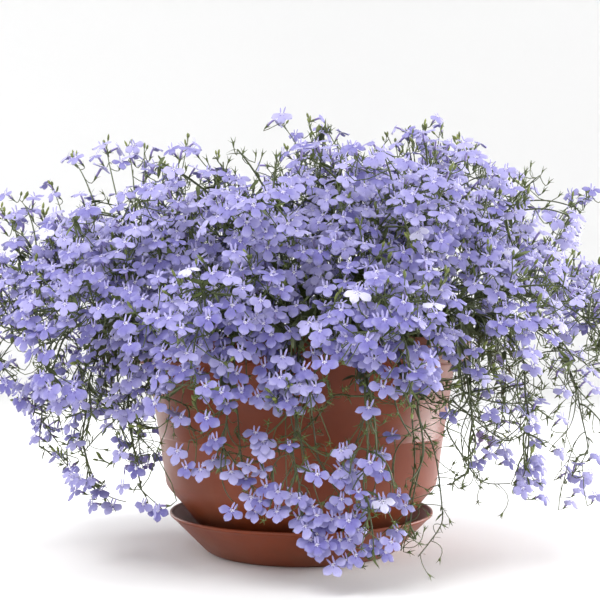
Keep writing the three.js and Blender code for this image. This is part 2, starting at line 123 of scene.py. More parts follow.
# Leggy parts of the plant: the bearings and the heights between which only a share of the flowers is left,
# and the reach beyond which the plant is full again.
LEGGY = (
    (-140, -122, 0, 112, 0.1), (-122, -104, 0, 113, 0.1), (-104, -97, 0, 116, 0.1), (-97, -87, 0, 114, 0.1),
    (-87, -76, 0, 138, 0.08), (-76, -62, 0, 124, 0.06), (-62, -38, 0, 112, 0), (-62, -38, 112, 130, 0.03),
    (-45, 62, 96, 158, 0.08), (-45, -20, 158, 186, 0.25), (-20, 12, 158, 176, 0.2, 186),
    (12, 62, 158, 176, 0.2, 206), (-60, -20, 186, 200, 0.5), (-20, 70, 176, 200, 0.4, 186),
    (-50, 60, 200, 228, 0.75), (-180, -145, 62, 100, 0.15), (-165, -138, 0, 62, 0.15),
    (-145, -132, 52, 92, 0.1), (-45, 20, 0, 96, 0.2), (-160, -135, 100, 150, 0.55),
    (-180, -160, 128, 158, 0.2), (160, 180, 128, 158, 0.2), (135, 180, 95, 132, 0.5),
    (62, 100, 60, 150, 0.5), (110, 160, 60, 95, 0.3),
)
# The canopy's top across the plant: place, height up to which it is dense, highest flower. It falls towards
# the front by a share of the depth.
CANOPY = np.array([
    (-246, 225, 258), (-214, 232, 268), (-192, 238, 270), (-169, 240, 272), (-147, 234, 274),
    (-124, 236, 276), (-98, 248, 282), (-79, 264, 300), (-56, 260, 290), (-34, 258, 282), (-12, 254, 286),
    (10, 288, 324), (33, 266, 300), (55, 280, 304), (78, 286, 312), (100, 300, 318), (123, 280, 306),
    (145, 242, 274), (168, 238, 272), (190, 212, 258), (213, 228, 262), (250, 218, 256),
], float)
TOP_FALL = 0.21
# Tall sprigs that stand out of the canopy: across, depth and height of the tip, and number of flowers.
PLUMES = (
    (-168, -10, 286, 3), (-148, 10, 301, 4), (-205, -20, 256, 5), (-222, -10, 248, 4), (-186, 0, 268, 4),
    (-130, 0, 299, 4), (-116, -10, 293, 4), (-104, 4, 286, 3), (-84, -10, 300, 4), (-66, 10, 294, 3),
    (-16, -10, 314, 4), (-6, 4, 300, 3), (6, -8, 316, 5), (16, 4, 303, 5), (6, -20, 284, 4),
    (14, -4, 278, 4), (66, 4, 306, 4), (78, 0, 310, 4), (90, -6, 314, 5), (104, 2, 310, 5),
    (118, -4, 302, 5), (134, 4, 288, 3), (168, 2, 270, 3), (200, -8, 256, 4), (216, -4, 262, 4),
    (-196, 10, 250, 4), (-212, -30, 242, 4), (-186, -30, 244, 4), (58, -60, 250, 5), (74, -54, 256, 5),
    (50, -84, 234, 5), (84, -64, 244, 5), (8, -132, 200, 5), (16, -126, 207, 4), (186, -20, 236, 4),
    (176, -40, 220, 4), (216, -30, 206, 4), (212, -10, 178, 4), (176, -60, 196, 3), (14, -30, 263, 5),
    (30, -40, 257, 5), (42, -20, 268, 5), (62, -30, 263, 5), (80, -44, 256, 5), (86, -30, 270, 5),
    (70, -16, 286, 5), (84, 6, 298, 5), (0, -40, 262, 4), (-10, -140, 180, 5), (-104, -90, 200, 5),
    (50, 0, 280, 4), (72, 10, 302, 4), (92, 0, 307, 5), (100, 8, 300, 5), (82, -12, 302, 4),
    (110, 4, 296, 4), (124, -6, 290, 4), (154, 0, 270, 3), (162, -24, 250, 4), (216, -6, 184, 5),
    (226, -18, 176, 4), (222, 4, 196, 4), (55, -12, 284, 5), (76, -20, 258, 5), (10, -16, 284, 4),
    (123, -2, 282, 4), (68, -62, 246, 5), (62, -80, 236, 5), (22, -60, 244, 5), (-170, -60, 216, 5),
    (108, -72, 212, 5), (114, -64, 204, 5), (204, -20, 196, 4), (208, 10, 210, 4), (200, -30, 178, 4),
)
# Bunches of a spilling stem: turn round the pot and spread in radians, lowest and highest flower, sprigs.
BUNCHES = {
    6: (-0.06, 0.07, 114, 130, 6),
    8: (0.02, 0.14, 108, 124, 2),
    9: (0.0, 0.14, 108, 124, 2),
}
# Flowers that hang from the spilling stems, three to a sprig: bearing in degrees, reach and height.
HUNG_FLOWERS = {
    1: ((-5, 210, 130), (-8, 213, 117), (-14, 187, 116), (-14, 184, 97), (-11, 185, 75), (-11, 211, 70),
        (-5, 196, 54), (-14, 207, 57), (-5, 198, 34), (-14, 207, 43), (-8, 199, 61), (-6, 209, 52),
        (-8, 201, 47), (-5, 208, 145), (-5, 210, 123), (-8, 190, 143)),
    2: ((-29, 154, 128), (-26, 155, 107), (-32, 168, 107), (-29, 177, 110), (-29, 175, 102), (-32, 176, 94),
        (-29, 150, 84), (-32, 155, 79), (-32, 161, 70), (-26, 175, 83), (-29, 172, 70), (-26, 177, 66),
        (-29, 170, 61), (-32, 167, 59), (-26, 180, 48), (-28, 161, 64), (-28, 167, 55), (-27, 174, 58)),
    3: ((-44, 155, 128), (-40, 151, 117), (-44, 164, 105), (-52, 148, 104), (-41, 148, 73), (-40, 155, 78)),
    4: ((-68, 147, 93), (-66, 147, 58), (-64, 147, 49), (-72, 147, 29), (-70, 147, 24), (-67, 147, 36),
        (-68, 151, 122), (-66, 151, 125), (-64, 151, 118)),
    5: ((-75, 147, 121), (-72, 147, 82), (-81, 147, 84), (-80, 147, 79), (-82, 147, 75), (-78, 147, 70),
        (-75, 147, 52), (-70, 147, 52), (-78, 147, 46), (-77, 147, 38), (-82, 147, 44), (-81, 147, 33),
        (-75, 147, 28), (-80, 147, 19), (-82, 147, 17), (-74, 147, 19), (-80, 151, 32), (-80, 151, 56),
        (-74, 151, 57), (-81, 150, 73), (-79, 150, 67), (-83, 150, 70)),
    6: ((-98, 147, 89), (-81, 147, 86), (-88, 147, 74), (-99, 147, 73), (-98, 147, 62), (-95, 147, 61),
        (-83, 147, 52), (-90, 147, 57), (-94, 147, 50), (-90, 147, 45), (-88, 147, 50), (-85, 147, 39),
        (-89, 147, 33), (-86, 147, 25), (-89, 151, 42), (-86, 151, 49), (-88, 151, 31), (-84, 151, 33),
        (-90, 151, 56), (-84, 151, 44), (-93, 150, 123), (-92, 150, 128), (-95, 150, 119), (-94, 150, 58),
        (-96, 150, 49), (-99, 150, 54)),
    7: ((-120, 147, 103), (-122, 147, 83), (-118, 147, 75), (-101, 147, 95), (-102, 147, 78),
        (-109, 147, 78), (-111, 147, 80), (-114, 147, 74), (-106, 147, 73), (-103, 147, 68),
        (-101, 147, 55), (-101, 147, 48), (-106, 150, 51)),
    8: ((-137, 150, 122), (-138, 160, 114), (-132, 157, 106), (-135, 160, 104), (-129, 150, 105),
        (-132, 164, 81), (-135, 156, 60), (-128, 150, 46), (-124, 150, 121), (-126, 150, 127),
        (-122, 150, 125)),
    9: ((-153, 151, 125), (-150, 170, 112), (-156, 157, 104), (-153, 174, 118), (-147, 182, 108),
        (-156, 174, 94), (-147, 174, 85), (-153, 173, 64), (-150, 167, 60), (-147, 163, 60),
        (-156, 164, 48), (-153, 157, 41), (-150, 150, 42), (-153, 174, 57), (-150, 155, 51),
        (-150, 146, 40)),
    10: ((-168, 206, 155), (-172, 208, 138), (-164, 196, 120), (-168, 182, 118), (-172, 206, 104),
        (-172, 185, 82), (-168, 193, 83), (-172, 178, 71)),
}
# Nearly bare stems that leave the crest of a spilling stem: bearing in degrees, reach and height of
# their knots.
STRANDS = {
    1: (
        ((-12, 186, 150), (-8, 202, 140), (-3, 214, 132), (2, 222, 128)),
        ((6, 186, 144), (9, 202, 130), (8, 212, 114), (4, 216, 98)),
    ),
    2: (
        ((-46, 140, 116), (-44, 146, 106), (-40, 150, 98), (-38, 156, 92), (-35, 162, 87), (-30, 168, 90)),
        ((-26, 150, 118), (-22, 160, 96), (-18, 168, 84), (-12, 178, 78)),
    ),
    3: (
        ((-56, 134, 124), (-55, 137, 116), (-52, 140, 112), (-48, 143, 114)),
        ((-48, 138, 98), (-44, 142, 79), (-40, 146, 65), (-36, 150, 59), (-31, 160, 58)),
        ((-52, 136, 120), (-48, 144, 110), (-43, 152, 103), (-38, 160, 100)),
        ((-44, 140, 122), (-41, 150, 115), (-37, 160, 112), (-33, 170, 111)),
    ),
    4: (
        ((-60, 137, 117), (-60, 137, 99), (-59, 136, 84), (-59, 135, 68), (-60, 133, 52), (-61, 132, 34),
         (-62, 131, 21)),
        ((-59, 136, 113), (-57, 137, 99), (-54, 138, 88), (-52, 138, 75), (-51, 138, 62), (-51, 140, 48),
         (-52, 142, 37), (-57, 144, 27), (-61, 146, 20)),
    ),
    5: (
        ((-72, 137, 116), (-71, 138, 98), (-71, 138, 82), (-75, 140, 69), (-82, 142, 58)),
        ((-82, 138, 118), (-86, 139, 106), (-91, 139, 95), (-96, 140, 86), (-101, 142, 78)),
    ),
    6: (((-88, 140, 113), (-87, 138, 98), (-86, 137, 82), (-83, 138, 68), (-80, 142, 56)),),
    7: (((-107, 136, 112), (-106, 137, 94), (-105, 138, 76)),),
    8: (((-122, 136, 111), (-120, 138, 99), (-116, 140, 95)),),
    9: (
        ((-140, 150, 108), (-146, 160, 90), (-150, 166, 78)),
        ((-138, 146, 112), (-136, 150, 98), (-134, 152, 84), (-130, 156, 74)),
    ),
    17: (((30, 186, 142), (26, 200, 128), (20, 212, 114)),),
}


# ---- Settings ----------------------------------------------------------------------------------
def metres(name, description, default, least=0):
    """A setting that is a length."""
    return bpy.props.FloatProperty(
        name=name, description=description, default=default, min=least, unit="LENGTH")


def hue(name, description, default):
    """A setting that is a colour."""
    return bpy.props.FloatVectorProperty(
        name=name, description=description, subtype="COLOR", default=default, min=0, max=1)


class HolderSettings(bpy.types.PropertyGroup):
    """Sizes and colours of the pot and its saucer."""

    rim_radius: metres("Rim radius", "Outer radius of the pot's collar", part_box("pot")[1].x, 0.02)
    rim_height: metres("Rim height", "Height of the pot's rim above the ground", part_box("pot")[1].z, 0.02)
    saucer_radius: metres("Saucer radius", "Outer radius of the saucer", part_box("saucer")[1].x, 0.02)
    wall: metres("Wall", "Thickness of the pot's wall", 2.2 * MM, 0.5 * MM)
    clay: hue("Clay", "Colour of the plastic", (0.215, 0.038, 0.009))
    dust: hue("Dust", "Colour of dust and limescale", (0.3, 0.17, 0.11))


class FlowerSettings(bpy.types.PropertyGroup):
    """Size, number and colours of the flowers."""

    width: metres("Width", "Width of an open flower", 15.6 * MM, 5 * MM)
    per_head: bpy.props.FloatProperty(
        name="Flowers per head", default=2.1, min=0.1, max=4,
        description="Flowers on a head, as a share of the flowers that would tile it")
    # Deep and light petals are the ends of the tone, whose mean by place is painted light and shade.
    deep: hue("Deep petal", "Colour of the deepest petals", (0.15, 0.135, 0.41))
    light: hue("Light petal", "Colour of the lightest petals", (0.43, 0.405, 0.71))
    pale: hue("Pale petal", "Colour of the upper lobes", (0.45, 0.42, 0.72))
    eye: hue("Eye", "Colour of the eye", (0.9, 0.9, 0.93))


class FoliageSettings(bpy.types.PropertyGroup):
    """Sizes and colours of stems, leaves and buds."""

    stem_radius: metres("Stem radius", "Radius of a main stem at its root", 1.1 * MM, 0.2 * MM)
    leaf_length: metres("Leaf length", "Length of the longest leaves", 24 * MM, 5 * MM)
    stem: hue("Stem", "Colour of old stems", (0.055, 0.065, 0.03))
    leaf: hue("Leaf", "Colour of leaves", (0.095, 0.125, 0.04))
    bud: hue("Bud", "Colour of buds", (0.14, 0.17, 0.04))


class StageSettings(bpy.types.PropertyGroup):
    """Camera and floor."""

    distance: metres("Camera distance", "From the camera to the pot's axis", 0.672, 0.1)
    height: metres("Camera height", "Height of the camera", 0.1393)
    angle: bpy.props.FloatProperty(
        name="Angle of view", description="Horizontal angle of view", default=math.radians(37.0),
        min=0.1, max=2, subtype="ANGLE", unit="ROTATION")
    floor: hue("Floor", "Colour of the floor", (0.86, 0.86, 0.86))


class LobeliaSettings(bpy.types.PropertyGroup):
    """All settings of the plant, its holder and the stage."""

    holder: bpy.props.PointerProperty(name="Holder", description="Pot and saucer", type=HolderSettings)
    flowers: bpy.props.PointerProperty(name="Flowers", description="Flowers", type=FlowerSettings)
    foliage: bpy.props.PointerProperty(
        name="Foliage", description="Stems, leaves and buds", type=FoliageSettings)
    stage: bpy.props.PointerProperty(name="Stage", description="Camera and floor", type=StageSettings)


# ---- Surfaces ----------------------------------------------------------------------------------
def unit(vectors):
    """Each vector divided by its length."""
    return vectors / np.maximum(np.linalg.norm(vectors, axis=-1, keepdims=True), 1e-12)


def squared(vectors, ways):
    """Each vector turned square to its way, at length 1."""
    return unit(vectors - np.sum(vectors * ways, axis=1, keepdims=True) * ways)


def smooth(value):
    """3t² - 2t³ of a value held between 0 and 1."""
    held = np.clip(value, 0, 1)
    return held * held * (3 - 2 * held)


def grid_faces(rows, columns, closed=False):
    """Quads of a grid of rows by columns of points, with the last column joined to the first if closed."""
    across = columns if closed else columns - 1
    row, column = np.meshgrid(np.arange(rows - 1), np.arange(across), indexing="ij")
    beside = (column + 1) % columns
    here, above = row * columns, (row + 1) * columns
    corners = here + column, here + beside, above + beside, above + column
    return np.stack([corner.ravel() for corner in corners], axis=1)


def cap_faces(sides):
    """Quads that close a ring with an even number of points: a fan from its first point."""
    return np.array([[0, j, j + 1, j + 2] for j in range(1, sides - 1, 2)])


class Pile:
    """Collects copies of shapes for one piece: points, quads and one mark of three numbers for each point."""

    def __init__(self):
        self.points = []
        self.faces = []
        self.marks = []
        self.count = 0

    def add(self, points, faces, marks):
        """Adds n copies of a shape of v points: points and marks are n by v by 3, faces f by 4."""
        copies, size = points.shape[:2]
        offsets = self.count + size * np.arange(copies)[:, None, None]
        self.points.append(points.reshape(-1, 3))
        self.faces.append((faces[None] + offsets).reshape(-1, 4))
        self.marks.append(np.broadcast_to(marks, points.shape).reshape(-1, 3))
        self.count += copies * size

    def piece(self, name, material):
        """One mesh object of everything collected."""
        mesh = bpy.data.meshes.new(name)
        mesh.from_pydata(np.concatenate(self.points), [], np.concatenate(self.faces))
        mesh.polygons.foreach_set("use_smooth", np.ones(len(mesh.polygons), bool))
        layer = mesh.attributes.new("mark", "FLOAT_VECTOR", "POINT")
        layer.data.foreach_set("vector", np.concatenate(self.marks).astype(np.float32).ravel())
        mesh.materials.append(material)
        made = bpy.data.objects.new(name, mesh)
        bpy.context.scene.collection.objects.link(made)
        return made


def tubes(paths, radii, sides, across=None):
    """Tubes round n paths of k points. A ring's point is the path's point plus the radius times cosine
    and sine of its angle along two directions square to the path. Both ends are closed."""
    ahead = unit(np.gradient(paths, axis=1))
    if across is None:
        span = unit(paths[:, -1] - paths[:, 0])
        across = np.eye(3)[np.abs(span).argmin(axis=1)]
    side = unit(np.cross(ahead, np.cross(across[:, None, :], ahead)))
    above = np.cross(ahead, side)
    angles = 2 * np.pi * np.arange(sides) / sides
    spokes = side[:, :, None] * np.cos(angles)[:, None] + above[:, :, None] * np.sin(angles)[:, None]
    points = paths[:, :, None] + spokes * np.broadcast_to(radii, paths.shape[:2])[:, :, None, None]
    rings = paths.shape[1]
    end = sides * (rings - 1)
    cap = cap_faces(sides)
    faces = np.concatenate([grid_faces(rings, sides, closed=True), cap[:, ::-1], cap + end])
    return points.reshape(len(paths), -1, 3), faces


def bent(start, control, end, count):
    """Quadratic curves: (1-t)² start + 2t(1-t) control + t² end, at count values of t from 0 to 1."""
    t = np.linspace(0, 1, count)[None, :, None]
    return (1 - t) ** 2 * start[:, None] + 2 * t * (1 - t) * control[:, None] + t**2 * end[:, None]


def placed(shape, frames, origins, scales):
    """Copies of a shape of v points: each is turned by its frame, scaled and moved to its origin."""
    return np.einsum("nij,vj->nvi", frames, shape) * scales[:, None, None] + origins[:, None]


def frames_of(facing, above, roll):
    """Turns a shape's z axis to facing and its y axis towards above, then rolls it about z."""
    above = squared(above, facing)
    across = np.cross(above, facing)
    cosine, sine = np.cos(roll)[:, None], np.sin(roll)[:, None]
    return np.stack([across * cosine + above * sine, above * cosine - across * sine, facing], axis=2)


def revolved(profile, segments):
    """A profile of radius and height turned round the Z axis, as a grid of points."""
    profile = np.array(profile)
    angles = 2 * np.pi * np.arange(segments) / segments
    radius, height = profile[:, :1], profile[:, 1:]
    return np.stack([radius * np.cos(angles), radius * np.sin(angles), height + 0 * angles], axis=-1)


def round_piece(name, points, material, welded=True):
    """A piece of one grid of points, whose last column meets its first."""
    pile = Pile()
    pile.add(points.reshape(1, -1, 3), grid_faces(*points.shape[:2], closed=True), np.zeros(3))
    made = pile.piece(name, material)
    if welded:
        made.data.validate()
        weld(made)
    return made


def turned(name, profile, segments, material):
    """A solid turned from a profile that starts and ends on the axis."""
    points = revolved(profile, segments)
    points[0] = profile[0, 1] * UP
    points[-1] = profile[-1, 1] * UP
    return round_piece(name, points, material)


def weld(made):
    """Merges the points that share a place, such as those at a pole, and turns faces outwards."""
    form = bmesh.new()
    form.from_mesh(made.data)
    bmesh.ops.remove_doubles(form, verts=form.verts, dist=MERGE)
    bmesh.ops.recalc_face_normals(form, faces=form.faces)
    form.to_mesh(made.data)
    form.free()


def rounded(corners, steps=4):
    """A profile whose corners (radius, height, fillet) are replaced by quadratic arcs that start and end
    a fillet away from the corner."""
    corners = np.array(corners, float)
    places, fillets = corners[:, :2], corners[:, 2]
    line = [places[0]]
    for before, here, after, fillet in zip(places[:-2], places[1:-1], places[2:], fillets[1:-1]):
        if fillet <= 0:
            line.append(here)
            continue
        back, on = before - here, after - here
        start = here + back * min(0.45, fillet / np.linalg.norm(back))
        end = here + on * min(0.45, fillet / np.linalg.norm(on))
        line.extend(bent(start[None], here[None], end[None], steps + 1)[0])
    line.append(places[-1])
    return line


# ---- Materials ---------------------------------------------------------------------------------
class Shader:
    """A material with one Principled node, and short ways to add nodes to it."""

    def __init__(self, name, **sockets):
        self.material = bpy.data.materials.new(name)
        self.material.use_nodes = True
        self.tree = self.material.node_tree
        self.main = self.tree.nodes["Principled BSDF"]
        for socket, value in sockets.items():
            self.main.inputs[socket.replace("_", " ")].default_value = value

    def node(self, kind, settings=None, **inputs):
        """A node with settings, and with inputs that are values or other nodes' outputs. An input's key is
        its name, or i and its number."""
        made = self.tree.nodes.new("ShaderNode" + kind)
        for key, value in (settings or {}).items():
            setattr(made, key, value)
        for key, value in inputs.items():
            self.feed(made.inputs[int(key[1:]) if key[1:].isdigit() else key.replace("_", " ")], value)
        return made

    def feed(self, socket, value):
        """Links another node's output to a socket, or sets its value."""
        if isinstance(value, bpy.types.NodeSocket):
            self.tree.links.new(value, socket)
        else:
            socket.default_value = value

    def maths(self, operation, a, b=0.0):
        return self.node("Math", {"operation": operation}, i0=a, i1=b, i2=0.0).outputs[0]

    def product(self, a, b):
        return self.maths("MULTIPLY", a, b)

    def unsigned(self, value):
        return self.maths("ABSOLUTE", value)

    def spread(self, value, low, high, to_low=0.0, to_high=1.0):
        """A value between low and high as a smooth step between two others."""
        step = {"interpolation_type": "SMOOTHSTEP"}
        return self.node("MapRange", step, i0=value, i1=low, i2=high, i3=to_low, i4=to_high).outputs[0]

    def mix(self, share, a, b):
        """A colour between a and b."""
        made = self.node("Mix", {"data_type": "RGBA", "blend_type": "MIX", "clamp_factor": True})
        self.feed(made.inputs[0], share)
        self.feed(made.inputs[6], a)
        self.feed(made.inputs[7], b)
        return made.outputs[2]

    def mark(self):
        """The three numbers that each point of a piece carries."""
        attribute = self.node("Attribute", {"attribute_name": "mark"})
        return self.node("SeparateXYZ", Vector=attribute.outputs["Vector"]).outputs

    def places(self, scale=(1, 1, 1)):
        """Object coordinates, stretched."""
        coordinates = self.node("TexCoord").outputs["Object"]
        return self.node("Mapping", Vector=coordinates, Scale=scale).outputs[0]

    def noise(self, places, scale, detail=3.0, roughness=0.55):
        made = self.node("TexNoise", Vector=places, Scale=scale, Detail=detail, Roughness=roughness)
        return made.outputs[0]

    def bump(self, height, distance, strength=1.0, onto=None):
        made = self.node("Bump", Height=height, Distance=distance, Strength=strength)
        if onto is not None:
            self.feed(made.inputs["Normal"], onto)
        return made.outputs[0]

    def finish(self, colour=None, roughness=None, normal=None):
        """Feeds what is given to the Principled node."""
        for key, value in (("Base Color", colour), ("Roughness", roughness), ("Normal", normal)):
            if value is not None:
                self.feed(self.main.inputs[key], value)
        return self.material


def rgba(colour, share=1.0):
    """A colour for a socket, darkened to a share."""
    return (*(share * part for part in colour), 1.0)


# Colours that belong to one small mark each.
THROAT_MARK = (0.05, 0.02, 0.22)
TUBE = (0.36, 0.3, 0.62)
TUBE_VEIN = (0.2, 0.14, 0.42)
PALE_TIP = (0.24, 0.28, 0.07)
FRESH_GREEN = (0.16, 0.2, 0.05)
DAMP_SOIL = (0.012, 0.008, 0.005)
DRY_SOIL = (0.07, 0.042, 0.026)
PALE_GRAIN = (0.3, 0.25, 0.2)


def plastic(name, settings, dustiness, low, high):
    """Satin plastic with soft vertical streaks of limescale, fine scuffs and dust that gathers between
    two heights."""
    shader = Shader(name, IOR=1.41)
    places = shader.places()
    streaks = shader.noise(shader.places((1, 1, 0.12)), 42.0, 4.0)
    clouds = shader.noise(places, 26.0, 4.0)
    grain = shader.noise(places, 900.0, 2.0)
    height = shader.node("SeparateXYZ", Vector=places).outputs[2]
    worn = shader.mix(shader.spread(clouds, 0.35, 0.7), rgba(settings.clay), rgba(settings.clay, 0.82))
    lime = shader.product(shader.spread(streaks, 0.52, 0.78), 0.1)
    dusty = shader.product(shader.spread(height, high, low), dustiness)
    dusty = shader.product(dusty, shader.spread(clouds, 0.3, 0.75, 0.35, 1.0))
    share = shader.maths("MINIMUM", shader.maths("ADD", lime, dusty), 0.8)
    colour = shader.mix(share, worn, rgba(settings.dust))
    rough = shader.maths("ADD", shader.product(share, 0.35), shader.spread(clouds, 0.3, 0.7, 0.34, 0.46))
    bumps = shader.bump(grain, 0.00005, 0.5)
    return shader.finish(colour, rough, shader.bump(clouds, 0.0006, 0.25, bumps))


def petal_material(settings):
    """Petals by their marks: along the lobe (below 0 on the tube), across it (3 more on the upper lobes) and
    the tone, which is each flower's own scatter round a mean of painted light and shade. A white eye, dark
    marks in the throat, fine veins and paler edges."""
    shader = Shader("petal", Roughness=0.55, IOR=1.38, Sheen_Weight=0.15, Sheen_Roughness=0.45)
    along, across, tone = shader.mark()
    # The tone mixes deep and light petals; its mean by place is painted light and shade.
    petal = shader.mix(tone, rgba(settings.deep), rgba(settings.light))
    bleached = shader.spread(tone, 0.93, 1.0, 0.0, 0.45)
    petal = shader.mix(bleached, petal, rgba(settings.eye))
    blotches = shader.noise(shader.places(), 160.0, 3.0)
    petal = shader.mix(shader.spread(blotches, 0.35, 0.75, 0.0, 0.22), petal, rgba(settings.light))
    edge = shader.product(shader.spread(along, 0.45, 1.0), 0.2)
    petal = shader.mix(edge, petal, rgba([0.5 + 0.5 * part for part in settings.light]))
    wave = shader.unsigned(shader.maths("SINE", shader.product(across, 8.0)))
    vein = shader.product(shader.spread(wave, 0.25, 0.0), shader.spread(along, 0.95, 0.2, 0.05, 0.38))
    petal = shader.mix(vein, petal, rgba(settings.deep, 0.62))
    lower = shader.maths("LESS_THAN", across, 1.5)
    middle = shader.unsigned(shader.maths("SUBTRACT", across, 3.0))
    half_pale = rgba([0.5 * (a + b) for a, b in zip(settings.deep, settings.pale)])
    ears = shader.mix(shader.spread(middle, 0.1, 0.9), half_pale, rgba(settings.pale))
    petal = shader.mix(lower, ears, petal)
    middle = shader.spread(shader.unsigned(across), 0.8, 0.25, 0.0, 0.65)
    eye = shader.product(shader.spread(along, 0.1, 0.03), shader.product(middle, lower))
    petal = shader.mix(eye, petal, rgba(settings.eye))
    split = shader.unsigned(shader.maths("SUBTRACT", shader.unsigned(across), 0.55))
    guide = shader.product(shader.spread(split, 0.26, 0.1), shader.spread(along, 0.26, 0.1, 0, 0.8))
    petal = shader.mix(shader.product(guide, lower), petal, rgba(THROAT_MARK))
    tube = shader.mix(shader.spread(wave, 0.5, 0.1), rgba(TUBE), rgba(TUBE_VEIN))
    tube = shader.mix(shader.spread(along, -0.25, -0.02, 0.0, 0.5), tube, rgba(settings.eye))
    colour = shader.mix(shader.maths("LESS_THAN", along, -0.001), petal, tube)
    return shader.finish(colour, None, shader.bump(vein, 0.0002, 0.3))


def green_material(settings):
    """Stems, leaves, calyces and buds by their marks: ripeness from old stem (0) over leaf (0.4) to bud
    (0.8) and pale tip (1), the place along the organ, and a tone of its own."""
    shader = Shader("green", Roughness=0.5, IOR=1.42)
    ripeness, _, tone = shader.mark()
    colour = shader.mix(shader.spread(ripeness, 0.05, 0.4), rgba(settings.stem), rgba(settings.leaf))
    colour = shader.mix(shader.spread(ripeness, 0.42, 0.8), colour, rgba(settings.bud))
    colour = shader.mix(shader.spread(ripeness, 0.82, 1.0), colour, rgba(PALE_TIP))
    colour = shader.mix(shader.product(tone, 0.4), colour, rgba(FRESH_GREEN))
    mottle = shader.noise(shader.places(), 300.0, 3.0)
    colour = shader.mix(shader.spread(mottle, 0.4, 0.75, 0.0, 0.35), colour, rgba(settings.leaf, 0.6))
    return shader.finish(colour, None, shader.bump(mottle, 0.0002, 0.3))


def compost_material():
    """Dark damp crumbs and a few pale grains."""
    shader = Shader("compost", Roughness=0.95)
    places = shader.places()
    crumbs = shader.noise(places, 260.0, 6.0, 0.7)
    colour = shader.mix(shader.spread(crumbs, 0.35, 0.7), rgba(DAMP_SOIL), rgba(DRY_SOIL))
    grains = shader.node("TexVoronoi", Vector=places, Scale=190.0).outputs[0]
    colour = shader.mix(shader.spread(grains, 0.16, 0.08), colour, rgba(PALE_GRAIN))
    return shader.finish(colour, None, shader.bump(crumbs, 0.002, 0.9))


# ---- Pot, saucer and soil ----------------------------------------------------------------------
def pot_profile(settings):
    """The pot's outline in metres, from the axis under the floor, up the outside, over the rim and down
    the inside: sloping foot, shoulder, tapering wall with a faint moulding line, and collar."""
    rim, top, wall = settings.rim_radius / MM, settings.rim_height / MM, settings.wall / MM
    corners = [
        (0, 5, 0), (57, 5, 1), (58.5, 3, 0.6), (63, 3, 0.8), (65.5, 5, 1.5), (88.5, 35, 4), (98, 45.9, 2),
        (100.2, 49.5, 1.6), (105.15, 83.6, 0), (105.5, 84.1, 0.2), (105.25, 84.7, 0),
        (113.4, top - 18, 1.2), (rim - 1.5, top - 17.2, 0.8), (rim - 0.2, top - 1.2, 0), (rim, top, 0.8),
        (rim - wall, top, 0.8), (rim - wall - 1.5, top - 14.8, 1), (113.4 - wall, top - 16, 1),
        (100.2 - wall, 50.5, 1.5), (88.5 - wall, 37, 3), (62, 8, 2), (0, 8, 0),
    ]
    return np.array(rounded(corners)) * MM


def saucer_profile(settings):
    """The saucer's outline in metres: flat foot, flared wall and a rolled lip."""
    rim = settings.saucer_radius / MM
    corners = [
        (0, 0, 0), (70, 0, 1), (72.5, 1.6, 1.5), (rim - 2.6, 24.6, 1.5), (rim, 26.6, 0.8), (rim, 28.5, 0.8),
        (rim - 1.9, 28.5, 0.8), (rim - 2.4, 26.6, 0.8), (rim - 5.4, 23.7, 1.5), (70.6, 3, 3), (0, 3, 0),
    ]
    return np.array(rounded(corners)) * MM


def soil_piece(material):
    """Soil that fills the pot. Its top is a disc on a grid of rings and spokes, raised by a sum of sine
    waves of random direction and length, and its side follows the pot's wall."""
    rng = np.random.default_rng(SOIL_SEED)
    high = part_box("soil")[1]
    rings, spokes, waves = 46, 120, 40
    radius = np.linspace(0, 1, rings)[:, None] * high.x
    angle = 2 * np.pi * np.arange(spokes) / spokes
    x, y = radius * np.cos(angle), radius * np.sin(angle)
    relief = np.zeros_like(x)
    for along_x, along_y in rng.normal(size=(waves, 2)) * 420:
        relief += np.sin(along_x * x + along_y * y + rng.uniform(0, ANY_TURN))
    fade = smooth((1 - radius / high.x) / 0.05)
    top = high.z - 0.6 * MM + fade * 0.16 * MM * relief
    side = [(high.x / MM, high.z / MM - 8), (97.6, 51), (85.9, 37.4), (61.6, 8.4), (0, 8.4)]
    walls = revolved(np.array(side) * MM, spokes)
    points = np.concatenate([np.stack([x, y, top], axis=-1), walls])
    points[0] = points[0].mean(axis=0)
    return round_piece("compost", points, material)


# ---- Stems -------------------------------------------------------------------------------------
class Draw:
    """Repeatable random numbers, the same as the frame's."""

    def __init__(self, seed):
        self.state = 9973 * (seed + 1)
        for _ in range(4):
            self.next()

    def next(self):
        self.state = (self.state * 48271) % 2147483647
        return self.state / 2147483647

    def between(self, low, high):
        return low + (high - low) * self.next()


def root_point(radius, bearing, rise):
    """The place at a radius and bearing round the pot's axis, above the soil by a rise."""
    return np.array([radius * math.cos(bearing), radius * math.sin(bearing), SOIL_TOP + rise])


def dome_point(elevation, bearing):
    """A superellipse turned round: reach is cos(e)^(2/flat), rise is sin(e)^(2/round)."""
    reach = math.cos(elevation) ** (2 / DOME["flat"])
    rise = math.sin(elevation) ** (2 / DOME["round"])
    x = DOME["half_width"] * reach * math.cos(bearing)
    y = DOME["half_depth"] * reach * math.sin(bearing)
    front = DOME["front_fall"] * max(0, -y) / DOME["half_depth"]
    left = DOME["left_fall"] * max(0, -x) / DOME["half_width"]
    return np.array([x, y, DOME["base"] + DOME["height"] * rise * (1 - front - left)])


def cubic(points, count=60):
    """A cubic curve through its first and last points, at equal steps of length."""
    a, b, c, d = (np.array(p)[None] for p in points)
    t = np.linspace(0, 1, 4 * count)[:, None]
    line = (1 - t) ** 3 * a + 3 * t * (1 - t) ** 2 * b + 3 * t**2 * (1 - t) * c + t**3 * d
    walked = np.concatenate([[0], np.cumsum(np.linalg.norm(np.diff(line, axis=0), axis=1))])
    steps = np.linspace(0, walked[-1], count)
    return np.stack([np.interp(steps, walked, line[:, k]) for k in range(3)], axis=1)


